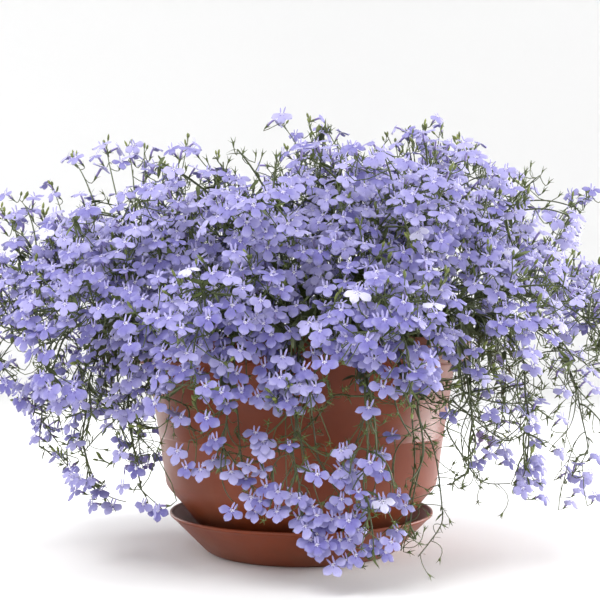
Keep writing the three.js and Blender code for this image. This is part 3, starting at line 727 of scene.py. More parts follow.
def upright_stems():
    """Name, bearing and path in metres of each stem of the dome."""
    for name, count, root, elevation, arch, droop, start in UPRIGHT:
        for i in range(count):
            draw = Draw(101 * root + i)
            bearing = math.radians(start + 360 * i / count + draw.between(-3, 3))
            tip = dome_point(math.radians(elevation + draw.between(-3, 3)), bearing)
            tip[2] += draw.between(-8, 12) - droop
            foot = root_point(root, bearing, 3)
            rise = arch + droop
            low = foot + 0.07 * (tip - foot)
            low[2] = foot[2] + 0.48 * (tip[2] - foot[2]) + 0.4 * max(0, rise)
            high = foot + 0.62 * (tip - foot)
            high[2] = tip[2] + rise
            yield f"{name}_{i + 1}", bearing, cubic((foot, low, high, tip)) * MM


def spilling_stems():
    """Name, bearing and path in metres of each stem that spills over the rim."""
    for i, (degrees, reach, height, bow) in enumerate(SPILLING):
        bearing = math.radians(degrees)
        foot = root_point(SPILLING_ROOT, bearing, 3)
        low = root_point(SPILLING_ROOT + 4, bearing, SPILLING_CREST - 6)
        high = root_point(bow, bearing, SPILLING_CREST + 0.45 * (bow - RIM_RADIUS - 34))
        tip = root_point(reach, bearing, height - SOIL_TOP)
        yield f"{TRAILING}{i + 1}", bearing, cubic((foot, low, high, tip)) * MM


def merged(node):
    """A frame node's points without doubles, and its triangles."""
    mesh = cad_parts[node].data
    points = np.empty(3 * len(mesh.vertices))
    mesh.vertices.foreach_get("co", points)
    mesh.calc_loop_triangles()
    corners = np.empty(3 * len(mesh.loop_triangles), np.int32)
    mesh.loop_triangles.foreach_get("vertices", corners)
    places, index = np.unique(np.round(points.reshape(-1, 3) / MERGE), axis=0, return_inverse=True)
    return places * MERGE, index.ravel()[corners].reshape(-1, 3)


def heads_of(node):
    """The large heads of a spray in the frame: centre, facing, radius and the foot of the stalk. A head's
    centre is a point where a nearly flat fan of RIM_POINTS triangles meets."""
    points, triangles = merged(node)
    sides = points[triangles[:, 1:]] - points[triangles[:, :1]]
    normals = unit(np.cross(sides[:, 0], sides[:, 1]))
    valence = np.bincount(triangles.ravel(), minlength=len(points))

    def beside(members):
        return np.setdiff1d(triangles[np.isin(triangles, members).any(axis=1)], members)

    heads = []
    for centre in np.flatnonzero(valence == RIM_POINTS):
        fan = (triangles == centre).any(axis=1)
        facing = unit(normals[fan].sum(axis=0))
        if (normals[fan] @ facing).min() < FLAT_FAN:
            continue
        rim = beside([centre])
        neck = np.setdiff1d(beside(rim), [centre])
        foot = np.setdiff1d(beside(neck), rim)
        radius = np.linalg.norm(points[rim] - points[centre], axis=1).max()
        heads.append((points[centre], facing, radius, points[foot].mean(axis=0)))
    return heads


# ---- Shapes of one flower, leaf and bud, in millimetres ----------------------------------------
# A lobe's half widths, as shares of the widest, at shares of its length.
LIP_ALONG = np.array([0, 0.3, 0.6, 0.82, 0.94, 1.0])
LIP_WIDTH = np.array([0.32, 0.72, 1.0, 0.7, 0.26, 0.0])
EAR_ALONG = np.array([0, 0.4, 0.8, 1.0])
EAR_WIDTH = np.array([0.65, 1.0, 0.85, 0.15])
LIP_LEAN = 0.45


def lobe(outline, length, width, bearing, lift, droop, cup, columns, start=0.9, aside=0.0):
    """A lobe on a grid, v along it from 0 to 1 and u across it from -1 to 1. It rises by
    lift·v - droop·v² and its sides bend back by cup·u²·v. It starts outside the throat, and aside."""
    v, shares = outline[0][:, None], outline[1][:, None]
    u = np.linspace(-1, 1, columns)[None]
    out, side = start + length * v + 0 * u, width * shares * u + aside
    height = lift * v - droop * v**2 - cup * u**2 * v
    x = out * math.cos(bearing) - side * math.sin(bearing)
    y = out * math.sin(bearing) + side * math.cos(bearing)
    points = np.stack([x, y, height + 0 * u], axis=-1).reshape(-1, 3)
    marks = np.stack([v + 0 * u, u + 0 * v, 0 * u * v], axis=-1).reshape(-1, 3)
    return points, marks, grid_faces(len(v), columns)


def flower_shape(rng, openness):
    """A flower that looks along +Z: three broad lobes below that lean forward as a lip, two narrow ones
    above and a tube behind."""
    parts = []
    for spread in (-73, 0, 73):
        bearing = math.radians(-90 + spread * rng.uniform(0.86, 1.08) + rng.uniform(-8, 8))
        size = rng.uniform(0.88, 1.08) * (1.03 if spread else 1.05)
        droop = 2.0 * (1.3 - openness) + rng.uniform(-0.6, 1.2)
        lift = 1.2 - 2.0 * (1 - openness)
        points, marks, faces = lobe((LIP_ALONG, LIP_WIDTH), 7.8 * size, 3.05 * size, bearing,
                                    lift, droop, rng.uniform(0.5, 2.0), 3)
        points[:, 2] -= LIP_LEAN * points[:, 1]
        parts.append((points, marks, faces))
    for side in (-1, 1):
        bearing = math.radians(90 + side * rng.uniform(-2, 14))
        points, marks, faces = lobe((EAR_ALONG, EAR_WIDTH), 4.6 * rng.uniform(0.85, 1.15), 0.6, bearing,
                                    rng.uniform(0.2, 1.8), rng.uniform(0.4, 3.0), 0.0, 2, 0.5, 0.95 * side)
        parts.append((points, marks + [0, 3, 0], faces))
    spine = np.array([[[0, 0, 0.1], [0, -0.4, -4.5], [0, -1.7, -8.6]]])
    points, faces = tubes(spine, np.array([0.9, 0.95, 0.8]), 4)
    depth = np.repeat([-0.02, -0.5, -1.0], 4)
    marks = np.stack([depth, np.tile([-1, -0.3, 0.3, 1], 3), 0 * depth], axis=1)
    parts.append((points[0], marks, faces))
    return joined(parts)


def joined(parts):
    """Several shapes as one."""
    counts = np.cumsum([0] + [len(points) for points, _, _ in parts[:-1]])
    faces = np.concatenate([faces + count for (_, _, faces), count in zip(parts, counts)])
    return np.concatenate([p[0] for p in parts]), np.concatenate([p[1] for p in parts]), faces


def calyx_shape():
    """A cone that holds the tube, with five narrow sepals that spread round it. At the share t of its
    length a sepal is 1.1 + 2·t from the axis, risen by 3.4·t - 0.7·t² and narrowed to 1 - 0.85·t."""
    spine = np.array([[[0, -1.5, -8.0], [0, -2.3, -11.2]]])
    points, faces = tubes(spine, np.array([1.15, 0.5]), 4)
    marks = np.tile([0.5, 0.5, 0.3], (len(points[0]), 1))
    parts = [(points[0], marks, faces)]
    t = np.linspace(0, 1, 3)[:, None]
    u = np.linspace(-1, 1, 2)[None]
    for k in range(5):
        angle = 2 * math.pi * (k + 0.25) / 5
        out = 1.1 + 2.0 * t + 0 * u
        side = 0.42 * (1 - 0.85 * t) * u
        x = out * math.cos(angle) - side * math.sin(angle)
        y = out * math.sin(angle) + side * math.cos(angle) - 1.6
        z = -8.4 + 3.4 * t - 0.7 * t * t + 0 * u
        sepal = np.stack([x, y, z], axis=-1).reshape(-1, 3)
        parts.append((sepal, np.tile([0.45, 0.5, 0.3], (6, 1)), grid_faces(3, 2)))
    return joined(parts)


def leaf_shape(width, teeth):
    """A leaf of length 1 along +Y, folded along its middle. Its half width is the width times the sum of
    sin(0.98·pi·v^0.8 + 0.03)^0.8 and its teeth, and it bends down by 0.22·v²."""
    v = np.linspace(0, 1, len(teeth))[:, None]
    u = np.linspace(-1, 1, 3)[None]
    half = width * (np.sin(math.pi * v**0.8 * 0.98 + 0.03) ** 0.8 + np.array(teeth)[:, None])
    z = 0.3 * half * np.abs(u) - 0.22 * v**2
    points = np.stack([half * u, v + 0 * u, z], axis=-1).reshape(-1, 3)
    marks = np.stack([0 * u * v, v + 0 * u, 0 * u * v], axis=-1).reshape(-1, 3)
    return points, marks, grid_faces(len(v), 3)


FLOWERS = [flower_shape(np.random.default_rng(FLOWER_SEED + k), 1.05 - 0.07 * k) for k in range(10)]
FLOWER_REACH = 8.6
CALYX = calyx_shape()
NARROW_LEAF = leaf_shape(0.085, (0, 0, 0, 0, 0))
INNER_LEAF = leaf_shape(0.13, (0, 0.08, -0.06, 0.08, 0))
BROAD_LEAF = leaf_shape(0.16, (0, 0.08, -0.1, 0.14, -0.1, 0.1, 0))
THROAT_TO_BASE = np.array([0, -2.3, -11.2])
BUD_ALONG = np.array([0, 0.3, 0.7, 1.0])
BUD_RADII = np.array([0.3, 0.95, 0.9, 0.2])


# ---- Sprays ------------------------------------------------------------------------------------
# Side stems: steps, radii of both ends in millimetres, ripeness and the highest tone.
HEAD_SPRIG = (9, (0.7, 0.45), 0.16, 0.5)
SHOOT = (6, (0.55, 0.38), 0.24, 0.5)
RISER = (10, (0.54, 0.3), 0.22, 0.5)
TWIG = (6, (0.5, 0.32), 0.2, 0.5)
SKIRT_SPRIG = (8, (0.6, 0.36), 0.16, 0.5)
HANGING_SPRIG = (9, (0.46, 0.3), 0.06, 0.2)
FLOWER_STALK_RADIUS = 0.32
CURL_RADIUS = 0.24
DROPPED_CALYX_SIZE = 0.8
# A leaf's angle to its stem, in radians.
LEAF_LEAN = (0.5, 1.3)
# Scatter of the flowers' looks, of their upward way, roll, size and tone.
LOOK_SCATTER = 0.36
ABOVE_SCATTER = 0.2
ROLL = (-0.3, 0.3)
FLOWER_SIZES = (0.84, 1.1)
TONE_SCATTER = 0.32
TONES = (0.02, 0.92)
WHITE_BELOW = 0.006
EMPTY_ABOVE = 0.97
# Lengths of the stalks that carry flowers, in millimetres.
STEM_STALKS = (14, 26)
RISER_STALKS = (9, 15)
SKIRT_STALKS = (10, 14)
BUNCH_STALKS = (9, 13)
# Flowers straight on a main stem: first step of its path and number.
BETWEEN_HEADS = (18, 34)
BETWEEN_TRAILING_HEADS = (24, 10)
TWIGS = 7
# The canopy still has to be full this far above a young tip or a twig.
TIP_PROBE = 16
TWIG_PROBE = 18
TWIG_FULLNESS = 0.6
# A skirt sprig's turn from its stem in radians, and the reach and height of its end.
SKIRT_TURN = 0.21
SKIRT_REACH = (138, 154)
SKIRT_HEIGHT = (116, 158)
# Sprigs hang at least this far from the pot's axis, from this step of their stem's path on.
LEAST_REACH = 134
FIRST_HANGING_STEP = 20


def scatter(pile, shape, frames, origins, scales, marks):
    """Adds copies of a shape. Each copy's marks are the shape's own plus a mark of its own."""
    points, own, faces = shape
    pile.add(placed(points, frames, origins, scales), faces, own[None] + marks[:, None])


def marks_of(count, first, second, third):
    """Rows of three numbers, each a value or a column of its own."""
    return np.stack([np.broadcast_to(x, count) for x in (first, second, third)], axis=1).astype(float)


def outward(places):
    """The level way from the pot's axis to each place."""
    return unit(places * [1, 1, 0])


def level_way(bearing):
    """The level way of a bearing in radians."""
    return np.array([math.cos(bearing), math.sin(bearing), 0])


def round_pot(rows):
    """Places in metres, of rows of bearing in degrees and of reach and height in millimetres."""
    bearings, reaches, heights = np.array(rows, float).T
    turn = np.radians(bearings)
    return np.stack([reaches * np.cos(turn), reaches * np.sin(turn), heights], axis=1) * MM


def turned_to_light(places, looks):
    """Flowers turn to the light that comes from the front: those at the sides most, those behind not."""
    front = -outward(places)[:, 1:2]
    return unit(looks + LIGHT_WAY * LIGHT_PULL * smooth(0.75 + front))


class Spacing:
    """Keeps flowers apart, so that the canopy is even."""

    def __init__(self):
        self.taken = np.full((1, 3), 9.0)

    def free(self, places, gap):
        """The places that are a gap away from every flower so far. Those are then taken."""
        kept = np.zeros(len(places), bool)
        for i, place in enumerate(places):
            if ((self.taken - place) ** 2).sum(axis=1).min() > gap**2:
                self.taken = np.vstack([self.taken, place])
                kept[i] = True
        return kept


SPACING = Spacing()


def fullness(places):
    """The share of flowers that stand at each place: less in the leggy parts outside the pot's rim, and
    none above the canopy's top, which falls towards the front."""
    x, height = places[:, 0] / MM, places[:, 2] / MM
    bearing = np.degrees(np.arctan2(places[:, 1], places[:, 0]))
    reach = np.hypot(places[:, 0], places[:, 1])
    outside = reach > (RIM_RADIUS - 8) * MM
    share = np.ones(len(places))
    for start, end, low, high, left, *full in LEGGY:
        inside = outside & (bearing > start) & (bearing < end) & (height > low) & (height < high)
        inside &= reach / MM < (full[0] if full else np.inf)
        share[inside] = np.minimum(share[inside], left)
    level = height - TOP_FALL * places[:, 1] / MM
    dense = np.interp(x, CANOPY[:, 0], CANOPY[:, 1])
    top = np.interp(x, CANOPY[:, 0], CANOPY[:, 2])
    return share * np.clip((top - level) / (top - dense), 0, 1)


def painted_light_and_shade(places, hung):
    """The petals' mean tone at each place, painted light and shade: darker low down, lighter high up and at
    the right. Flowers that hang are lighter, by a table of their own."""
    if hung:
        return np.interp(places[:, 2] / MM, HUNG_PAINTED_LIGHT_AND_SHADE[:, 0], HUNG_PAINTED_LIGHT_AND_SHADE[:, 1])
    high = np.interp(places[:, 2] / MM, DOME_PAINTED_LIGHT_AND_SHADE[:, 0], DOME_PAINTED_LIGHT_AND_SHADE[:, 1])
    return high + PAINTED_LIGHT_RIGHT * smooth((places[:, 0] / MM - PAINTED_LIGHT_FROM) / PAINTED_LIGHT_OVER)


def flowing(knots, count):
    """A smooth path through knots: at the share t between two of them, a cubic whose slopes are half the
    span between the neighbours of each."""
    reach = np.linspace(0, len(knots) - 1 - 1e-9, count)
    first = reach.astype(int)
    t = (reach - first)[:, None]
    slopes = np.gradient(knots, axis=0)
    a, b, c, d = knots[first], knots[first + 1], slopes[first], slopes[first + 1]
    return (a * (2 * t**3 - 3 * t**2 + 1) + b * (3 * t**2 - 2 * t**3) + c * (t**3 - 2 * t**2 + t)
            + d * (t**3 - t**2))


def swayed(rng, path, amount):
    """A path that sways sideways by a sum of three sine waves, which grows from its foot."""
    along = np.linspace(0, 1, len(path))[:, None]
    sway = np.zeros_like(path)
    for waves in (1.5, 2.6, 4.1):
        phase = rng.uniform(0, 1, (1, 3))
        sway += np.sin(2 * math.pi * (waves * along + phase)) * rng.uniform(0.3, 1, (1, 3)) / waves
    return path + sway * smooth((along - 0.3) / 0.3) * amount


class Spray:
    """One spray of the frame: its stem's path, its random draws, and the two piles that its flowers, and
    its stems and leaves, are added to."""

    def __init__(self, name, bearing, path, hangs, seed):
        self.name = name
        self.bearing = bearing
        self.hangs = hangs
        self.settings = bpy.context.scene.lobelia
        self.rng = np.random.default_rng(seed)
        self.path = swayed(self.rng, path, (4 if hangs else 2) * MM)
        self.crest = int(np.argmax(self.path[:, 2]))
        self.blooms = Pile()
        self.greens = Pile()

    # Parts that everything else is made of.
    def add_tubes(self, paths, radii, sides, ripeness, tone, across=None):
        """A green tube along each path."""
        points, faces = tubes(paths, radii, sides, across)
        marks = marks_of(len(paths), ripeness, 0.5, tone)
        self.greens.add(points, faces, np.repeat(marks[:, None], points.shape[1], axis=1))

    def add_side_stem(self, start, control, end, steps, radii, ripeness, highest_tone):
        """A tapered stem on a quadratic curve, whose points are returned."""
        line = bent(start[None], control[None], end[None], steps)
        self.add_tubes(line, np.linspace(*radii, steps) * MM, 4, ripeness, self.rng.uniform(0, highest_tone))
        return line[0]

    def add_leaves(self, places, ahead, lengths, shape, ripeness):
        """Leaves that lean away from their stem's way, all round it."""
        rng, count = self.rng, len(places)
        aside = unit(np.cross(ahead, rng.normal(size=(count, 3))))
        lean = rng.uniform(*LEAF_LEAN, (count, 1))
        along = unit(ahead * np.cos(lean) + aside * np.sin(lean) + UP * 0.15)
        face = unit(np.cross(np.cross(along, UP + 0.01), along) + rng.normal(size=(count, 3)) * 0.35)
        frames = frames_of(squared(face, along), along, np.zeros(count))
        marks = marks_of(count, ripeness, 0, rng.uniform(0, 1, count))
        scatter(self.greens, shape, frames, places, lengths, marks)

    def add_leaves_on(self, line, steps, lengths, shape, ripeness, way=None, scale=MM):
        """Leaves on a line. Steps holds the first step, the one after the last and their number. They lean
        from the line's own way, or from one way for all."""
        at = self.rng.integers(*steps)
        ahead = unit(np.gradient(line, axis=0))[at] if way is None else np.tile(way, (len(at), 1))
        self.add_leaves(line[at], ahead, self.rng.uniform(*lengths, len(at)) * scale, shape, ripeness)

    def add_buds(self, starts, ways, tone):
        """Buds on short stalks: a stalk goes its way from its start and swells to a pointed bud."""
        rng, count = self.rng, len(starts)
        stalk = rng.uniform(1.5, 5, (count, 1)) * MM
        length = rng.uniform(3.4, 5.8, (count, 1)) * MM
        bend = rng.normal(size=(count, 3)) * 0.12
        neck = starts + ways * stalk
        self.add_tubes(np.stack([starts, neck], axis=1), 0.3 * MM, 4, 0.3, tone)
        spine = neck[:, None] + unit(ways + bend)[:, None] * length[:, None] * BUD_ALONG[:, None]
        radii = BUD_RADII[None] * rng.uniform(0.75, 1.1, (count, 1)) * MM
        self.add_tubes(spine, radii, 6, rng.uniform(0.62, 1.0, count), tone)

    def add_flowers(self, places, looks, starts, gap=DOME_GAP, all_stand=False):
        """Flowers at places that look their ways, each on a stalk that curves from its start on a stem.
        Unless all stand, some have dropped, more in the leggy parts, and a few of those leave their
        calyx."""
        rng, count = self.rng, len(places)
        lost = (rng.uniform(size=count) > fullness(places)) & (not all_stand)
        standing = np.where(lost, rng.uniform(size=count) < LEFT_CALYX, False)
        standing[~lost] = SPACING.free(places[~lost], gap * MM)
        standing &= (places < ROOM + 4 * MM).all(axis=1) & (places[:, 2] > LOWEST_FLOWER * MM)
        places, looks, starts, lost = places[standing], looks[standing], starts[standing], lost[standing]
        count = len(places)
        if not count:
            return
        looks = turned_to_light(places, unit(looks + rng.normal(size=(count, 3)) * LOOK_SCATTER))
        above = np.tile(UP, (count, 1)) + rng.normal(size=(count, 3)) * ABOVE_SCATTER
        frames = frames_of(looks, above, rng.uniform(*ROLL, count))
        scales = self.settings.flowers.width / (2 * FLOWER_REACH) * rng.uniform(*FLOWER_SIZES, count)
        # Each flower's tone scatters round a mean by place that is painted light and shade.
        tones = np.clip(rng.normal(painted_light_and_shade(places, all_stand), TONE_SCATTER, count), *TONES)
        chance = rng.uniform(size=count)
        tones[chance < WHITE_BELOW] = 1.0
        forms = rng.integers(0, len(FLOWERS), count)
        forms[lost | (chance > EMPTY_ABOVE)] = -1
        for form, flower in enumerate(FLOWERS):
            chosen = forms == form
            if chosen.any():
                scatter(self.blooms, flower, frames[chosen], places[chosen], scales[chosen],
                        marks_of(chosen.sum(), 0, 0, tones[chosen]))
        marks = marks_of(count, 0, 0, rng.uniform(-0.2, 0.5, count))
        scatter(self.greens, CALYX, frames, places, scales, marks)
        bases = places + np.einsum("nij,j->ni", frames, THROAT_TO_BASE) * scales[:, None]
        span = np.linalg.norm(bases - starts, axis=1, keepdims=True)
        control = bases - frames[:, :, 2] * span * 0.35 - UP * span * 0.12
        stalks = bent(starts, control, bases, 4)
        self.add_tubes(stalks, FLOWER_STALK_RADIUS * MM, 4, 0.26, rng.uniform(0, 0.5, count))

    # Growth from the main stem.
    def add_stem(self):
        """The main stem, sunk in its hole, with broad leaves low down and narrow ones further up."""
        trailing, hangs = self.name.startswith(TRAILING), self.hangs
        longest = self.settings.foliage.leaf_length
        across = np.array([[-math.sin(self.bearing), math.cos(self.bearing), 0]])
        below = self.path[:1] - UP * (HOLE_DEPTH + 2) * MM
        radii = self.settings.foliage.stem_radius * np.linspace(1, 0.42, len(self.path) + 1)
        self.add_tubes(np.concatenate([below, self.path])[None], radii, 6, 0.0, 0.1, across)
        steps = (3, 15, 12) if trailing else (3, 24, 18)
        self.add_leaves_on(self.path, steps, (0.4, 0.75), BROAD_LEAF, 0.3, scale=longest)
        steps = (14, len(self.path), 20) if hangs else (14, len(self.path) - 24, 28)
        self.add_leaves_on(self.path, steps, (0.18, 0.36 if hangs else 0.5),
                           NARROW_LEAF if hangs else INNER_LEAF, 0.3, scale=longest)

    def add_shoot(self, start, way, length, buds):
        """A young tip: a stem that bends up, small leaves round it and a tight bunch of buds on top."""
        control = start + way * length * 0.45 - UP * length * 0.1
        end = start + way * length + UP * length * 0.1
        shoot = self.add_side_stem(start, control, end, *SHOOT)
        at = shoot[self.rng.integers(3, 6, buds)]
        ways = unit(way + UP * 0.5 + self.rng.normal(size=(buds, 3)) * 0.3)
        self.add_buds(at, ways, self.rng.uniform(0, 0.5))
        leaves = max(3, int(length / (7 * MM)))
        self.add_leaves_on(shoot, (1, 6, leaves), (4, 8), NARROW_LEAF, 0.5, way)

    def head_flowers(self, head):
        """Where a head's flowers sit and look: a sunflower pattern over the head, bulged forwards in the
        middle."""
        centre, facing, radius, _ = head
        rng = self.rng
        share = self.settings.flowers.per_head * (0.8 if self.hangs else 1.0)
        spread = 1.2 if self.hangs else 1.0
        count = max(2, int(round(share * (radius / (FLOWER_REACH * MM)) ** 2 + rng.uniform(-0.5, 0.5))))
        order = np.arange(count)
        reach = spread * radius * np.sqrt((order + 0.3) / count) * rng.uniform(0.85, 1.12, count)
        turn = GOLDEN_ANGLE * order + rng.uniform(0, ANY_TURN) + rng.uniform(-0.3, 0.3, count)
        base = frames_of(facing[None], UP[None], np.zeros(1))[0]
        aside = base[:, 0] * np.cos(turn)[:, None] + base[:, 1] * np.sin(turn)[:, None]
        depth = 0.2 * radius * (1 - (reach / radius) ** 2) + rng.uniform(-13, 1, count) * MM
        places = centre + aside * reach[:, None] + facing * depth[:, None]
        return places, unit(facing + aside * (0.6 * reach / radius)[:, None])

    def dress_head(self, head):
        """A head's sprig with its leaves, its young tip, and the flowers on their stalks."""
        centre, facing, _, foot = head
        rng, hangs = self.rng, self.hangs
        foot = self.path[np.linalg.norm(self.path - foot, axis=1).argmin()]
        end = centre - facing * 7 * MM
        rise = UP * 0.12 * np.linalg.norm(end - foot)
        middle = 0.5 * (foot + end) + rise + rng.normal(size=3) * (7 if hangs else 2.5) * MM
        sprig = self.add_side_stem(foot, middle, end, *HEAD_SPRIG)
        places, looks = self.head_flowers(head)
        starts = sprig[rng.integers(3, 9, len(places))]
        self.add_flowers(places, looks, starts, TRAIL_GAP if hangs else DOME_GAP)
        way = facing * (0.6 if hangs else 0.3) + UP * (0.2 if hangs else 0.9)
        way = unit(way + rng.normal(size=3) * 0.25)
        length, buds = rng.uniform(7, 15) * MM, rng.integers(2, 5)
        if rng.uniform() < 0.7 * fullness((end + way * length + UP * TIP_PROBE * MM)[None])[0]:
            self.add_shoot(end, way, length, buds)
        if not hangs:
            self.add_leaves_on(sprig, (0, 5, 4), (8, 13), INNER_LEAF, 0.26, -facing)
        self.add_leaves_on(sprig, (0, 9, 4), (5, 10), NARROW_LEAF, 0.36)

    def add_riser(self, start, end, number, all_stand):
        """A young shoot that rises from the canopy, with flowers on stalks round its upper half and a few
        small buds at its tip."""
        rng, span = self.rng, end - start
        control = start + span * 0.5 + UP * 0.2 * np.linalg.norm(span) + rng.normal(size=3) * 3 * MM
        line = self.add_side_stem(start, control, end, *RISER)
        buds = rng.integers(3, 5)
        self.add_buds(line[rng.integers(8, 10, buds)], unit(UP + rng.normal(size=(buds, 3)) * 0.3), 0.2)
        at = line[np.linspace(9, 4, number).astype(int)]
        turn = GOLDEN_ANGLE * np.arange(number) + rng.uniform(0, ANY_TURN)
        aside = np.stack([np.cos(turn), np.sin(turn), rng.uniform(-0.2, 0.4, number)], axis=1)
        places = at + aside * rng.uniform(*RISER_STALKS, (number, 1)) * MM
        places = places + UP * rng.uniform(0, 6, (number, 1)) * MM
        self.add_flowers(places, unit(aside + UP * 0.2), at, DOME_GAP, all_stand)
        self.add_leaves_on(line, (1, 8, 3), (4, 7), NARROW_LEAF, 0.4, unit(span))

    def add_end_riser(self):
        """A riser from the stem's end, unless it would pass the canopy's top."""
        rng = self.rng
        start = self.path[rng.integers(len(self.path) - 22, len(self.path))]
        way = unit(UP * 0.9 + outward(start) * rng.uniform(0.1, 0.9) + rng.normal(size=3) * 0.28)
        end = start + way * rng.uniform(12, 26) * MM
        if rng.uniform() < fullness(end[None])[0] + 0.1 and (end < ROOM - 6 * MM).all():
            self.add_riser(start, end, rng.integers(1, 4), False)

    def add_between(self, first, number):
        """Flowers on stalks straight from the main stem, which fill the canopy between the heads."""
        rng = self.rng
        at = self.path[rng.integers(first, len(self.path) - 6, number)]
        out = outward(at)
        aside = unit(rng.normal(size=(number, 3)) + out * 0.8 + UP * 0.2)
        places = at + aside * rng.uniform(*STEM_STALKS, (number, 1)) * MM
        self.add_flowers(places, unit(aside + out * 0.8 + UP * 0.3), at)

    def add_twigs(self, number):
        """Short leafy twigs that fill the inside of the dome, each with small leaves and a bud."""
        rng = self.rng
        for _ in range(number):
            start = self.path[rng.integers(16, len(self.path) - 8)]
            way = unit(outward(start) * 0.7 + UP * 0.5 + rng.normal(size=3) * 0.7)
            end = start + way * rng.uniform(18, 34) * MM
            if fullness((end + UP * TWIG_PROBE * MM)[None])[0] < TWIG_FULLNESS:
                continue
            control = 0.5 * (start + end) + rng.normal(size=3) * 4 * MM
            twig = self.add_side_stem(start, control, end, *TWIG)
            self.add_leaves_on(twig, (1, 6, 5), (6, 12), INNER_LEAF, 0.4, way)
            self.add_buds(end[None], unit(way + UP * 0.3)[None], 0.3)

    # Growth that hangs from a spilling stem.
    def add_skirt(self, number):
        """Sprigs that fall over the pot's rim from the stem's crest, with their flowers."""
        rng = self.rng
        for _ in range(number):
            start = self.path[self.crest + rng.integers(-6, 8)]
            radial = level_way(self.bearing + rng.uniform(-SKIRT_TURN, SKIRT_TURN))
            reach = rng.uniform(*SKIRT_REACH) * MM
            end = radial * reach + UP * rng.uniform(*SKIRT_HEIGHT) * MM
            control = radial * reach * 1.02 + UP * (start[2] + rng.uniform(-2, 8) * MM)
            sprig = self.add_side_stem(start, control, end, *SKIRT_SPRIG)
            count = rng.integers(3, 6)
            at = sprig[rng.integers(4, 8, count)]
            aside = unit(radial * 0.9 + rng.normal(size=(count, 3)) * 0.6)
            places = at + aside * rng.uniform(*SKIRT_STALKS, (count, 1)) * MM
            self.add_flowers(places, unit(radial + aside * 0.3 + UP * 0.25), at)
            # Real leaves coloured as dark as old stems (ripeness 0.05): painted shade under the flowers that
            # overhang the rim.
            self.add_leaves_on(sprig, (1, 8, 9), (7, 13), INNER_LEAF, 0.05, -UP)

    def add_bunch(self, turn, spread, low, high, number):
        """Side sprigs that hang from the stem and fill the space beside its end with flowers."""
        rng = self.rng
        for _ in range(number):
            height = rng.uniform(low, high)
            above = (height + rng.uniform(12, 40)) * MM
            hanging = self.path[FIRST_HANGING_STEP:]
            start = hanging[np.abs(hanging[:, 2] - above).argmin()]
            radial = level_way(self.bearing + turn + spread * rng.uniform(-1, 1))
            reach = max(LEAST_REACH * MM, np.hypot(start[0], start[1]) + rng.uniform(-8, 4) * MM)
            end = radial * reach + UP * height * MM
            bend = unit(rng.normal(size=3)) * 0.45 * np.linalg.norm(end - start)
            control = 0.5 * (start + end) + radial * 6 * MM + bend
            sprig = self.add_side_stem(start, control, end, *HANGING_SPRIG)
            self.add_leaves_on(sprig, (2, 8, 3), (3, 6), NARROW_LEAF, 0.25, unit(end - start))
            count = rng.integers(3, 6)
            at = sprig[rng.integers(5, 9, count)]
            aside = unit(radial * 0.7 + rng.normal(size=(count, 3)) * [0.6, 0.6, 0.8])
            places = at + aside * rng.uniform(*BUNCH_STALKS, (count, 1)) * MM
            self.add_flowers(places, unit(radial + aside * 0.35 + UP * 0.3), at, TRAIL_GAP, True)

    def add_hung(self, flowers):
        """Flowers near their own places on short stalks, three to a sprig that leaves the stem a little
        higher and curves down to the middle of the three."""
        rng = self.rng
        places = round_pot(flowers)
        places += rng.normal(size=places.shape) * [2 * MM, 2 * MM, MM] + UP * 2 * MM
        for first in range(0, len(places), 3):
            group = places[first:first + 3]
            radial = outward(group.mean(axis=0))
            end = group.mean(axis=0) - radial * 8 * MM + UP * 2 * MM
            above = end + UP * rng.uniform(12, 34) * MM
            hanging = self.path[FIRST_HANGING_STEP:]
            start = hanging[np.linalg.norm(hanging - above, axis=1).argmin()]
            bend = unit(rng.normal(size=3)) * 0.4 * np.linalg.norm(end - start)
            control = 0.5 * (start + end) + radial * 4 * MM + bend
            sprig = self.add_side_stem(start, control, end, *HANGING_SPRIG)
            self.add_leaves_on(sprig, (2, 9, 4), (3, 7), NARROW_LEAF, 0.25, unit(end - start))
            looks = unit(radial + unit(group - end) * 0.3 + UP * 0.3)
            self.add_flowers(group, looks, sprig[rng.integers(6, 9, len(group))], HUNG_GAP, True)

    def add_strand(self, knots):
        """A nearly bare stem that leaves the crest and flows through its knots, with short curled leaves and
        curling stalks that carry the empty calyces of dropped flowers."""
        rng = self.rng
        line = round_pot(knots)
        crest = self.path[self.crest:self.crest + 20]
        start = crest[np.linalg.norm(crest - line[0], axis=1).argmin()]
        over = 0.5 * (start + line[0]) * [1.06, 1.06, 1]
        count = 5 * (len(line) + 2)
        line = flowing(np.concatenate([[start, over], line]), count)
        self.add_tubes(line[None], np.linspace(0.62, 0.34, count) * MM, 4, 0.08, rng.uniform(0, 0.3))
        radial = outward(line)
        number = int(0.9 * count)
        step = rng.integers(6, count, number)
        way = unit(radial[step] * 0.5 + rng.normal(size=(number, 3)) * [0.8, 0.8, 0.7])
        self.add_leaves(line[step], way, rng.uniform(3, 8, number) * MM, NARROW_LEAF, 0.22)
        number = count // 3
        step = rng.integers(6, count, number)
        way = unit(radial[step] * 0.35 + rng.normal(size=(number, 3)) * [0.8, 0.8, 0.4])
        bend = unit(np.cross(way, rng.normal(size=(number, 3))))
        length = rng.uniform(8, 17, (number, 1)) * MM
        tips = line[step] + way * length + bend * length * 0.5
        control = line[step] + way * length * 0.8 - bend * length * 0.25
        curls = bent(line[step], control, tips, 6)
        self.add_tubes(curls, CURL_RADIUS * MM, 4, 0.2, 0.2)
        ahead = unit(curls[:, -1] - curls[:, -2])
        frames = frames_of(ahead, np.tile(UP, (number, 1)) + 0.01, rng.uniform(0, 6, number))
        origins = tips - np.einsum("nij,j->ni", frames, THROAT_TO_BASE) * DROPPED_CALYX_SIZE * MM
        sizes = np.full(number, DROPPED_CALYX_SIZE * MM)
        scatter(self.greens, CALYX, frames, origins, sizes, marks_of(number, 0, 0, 0.3))

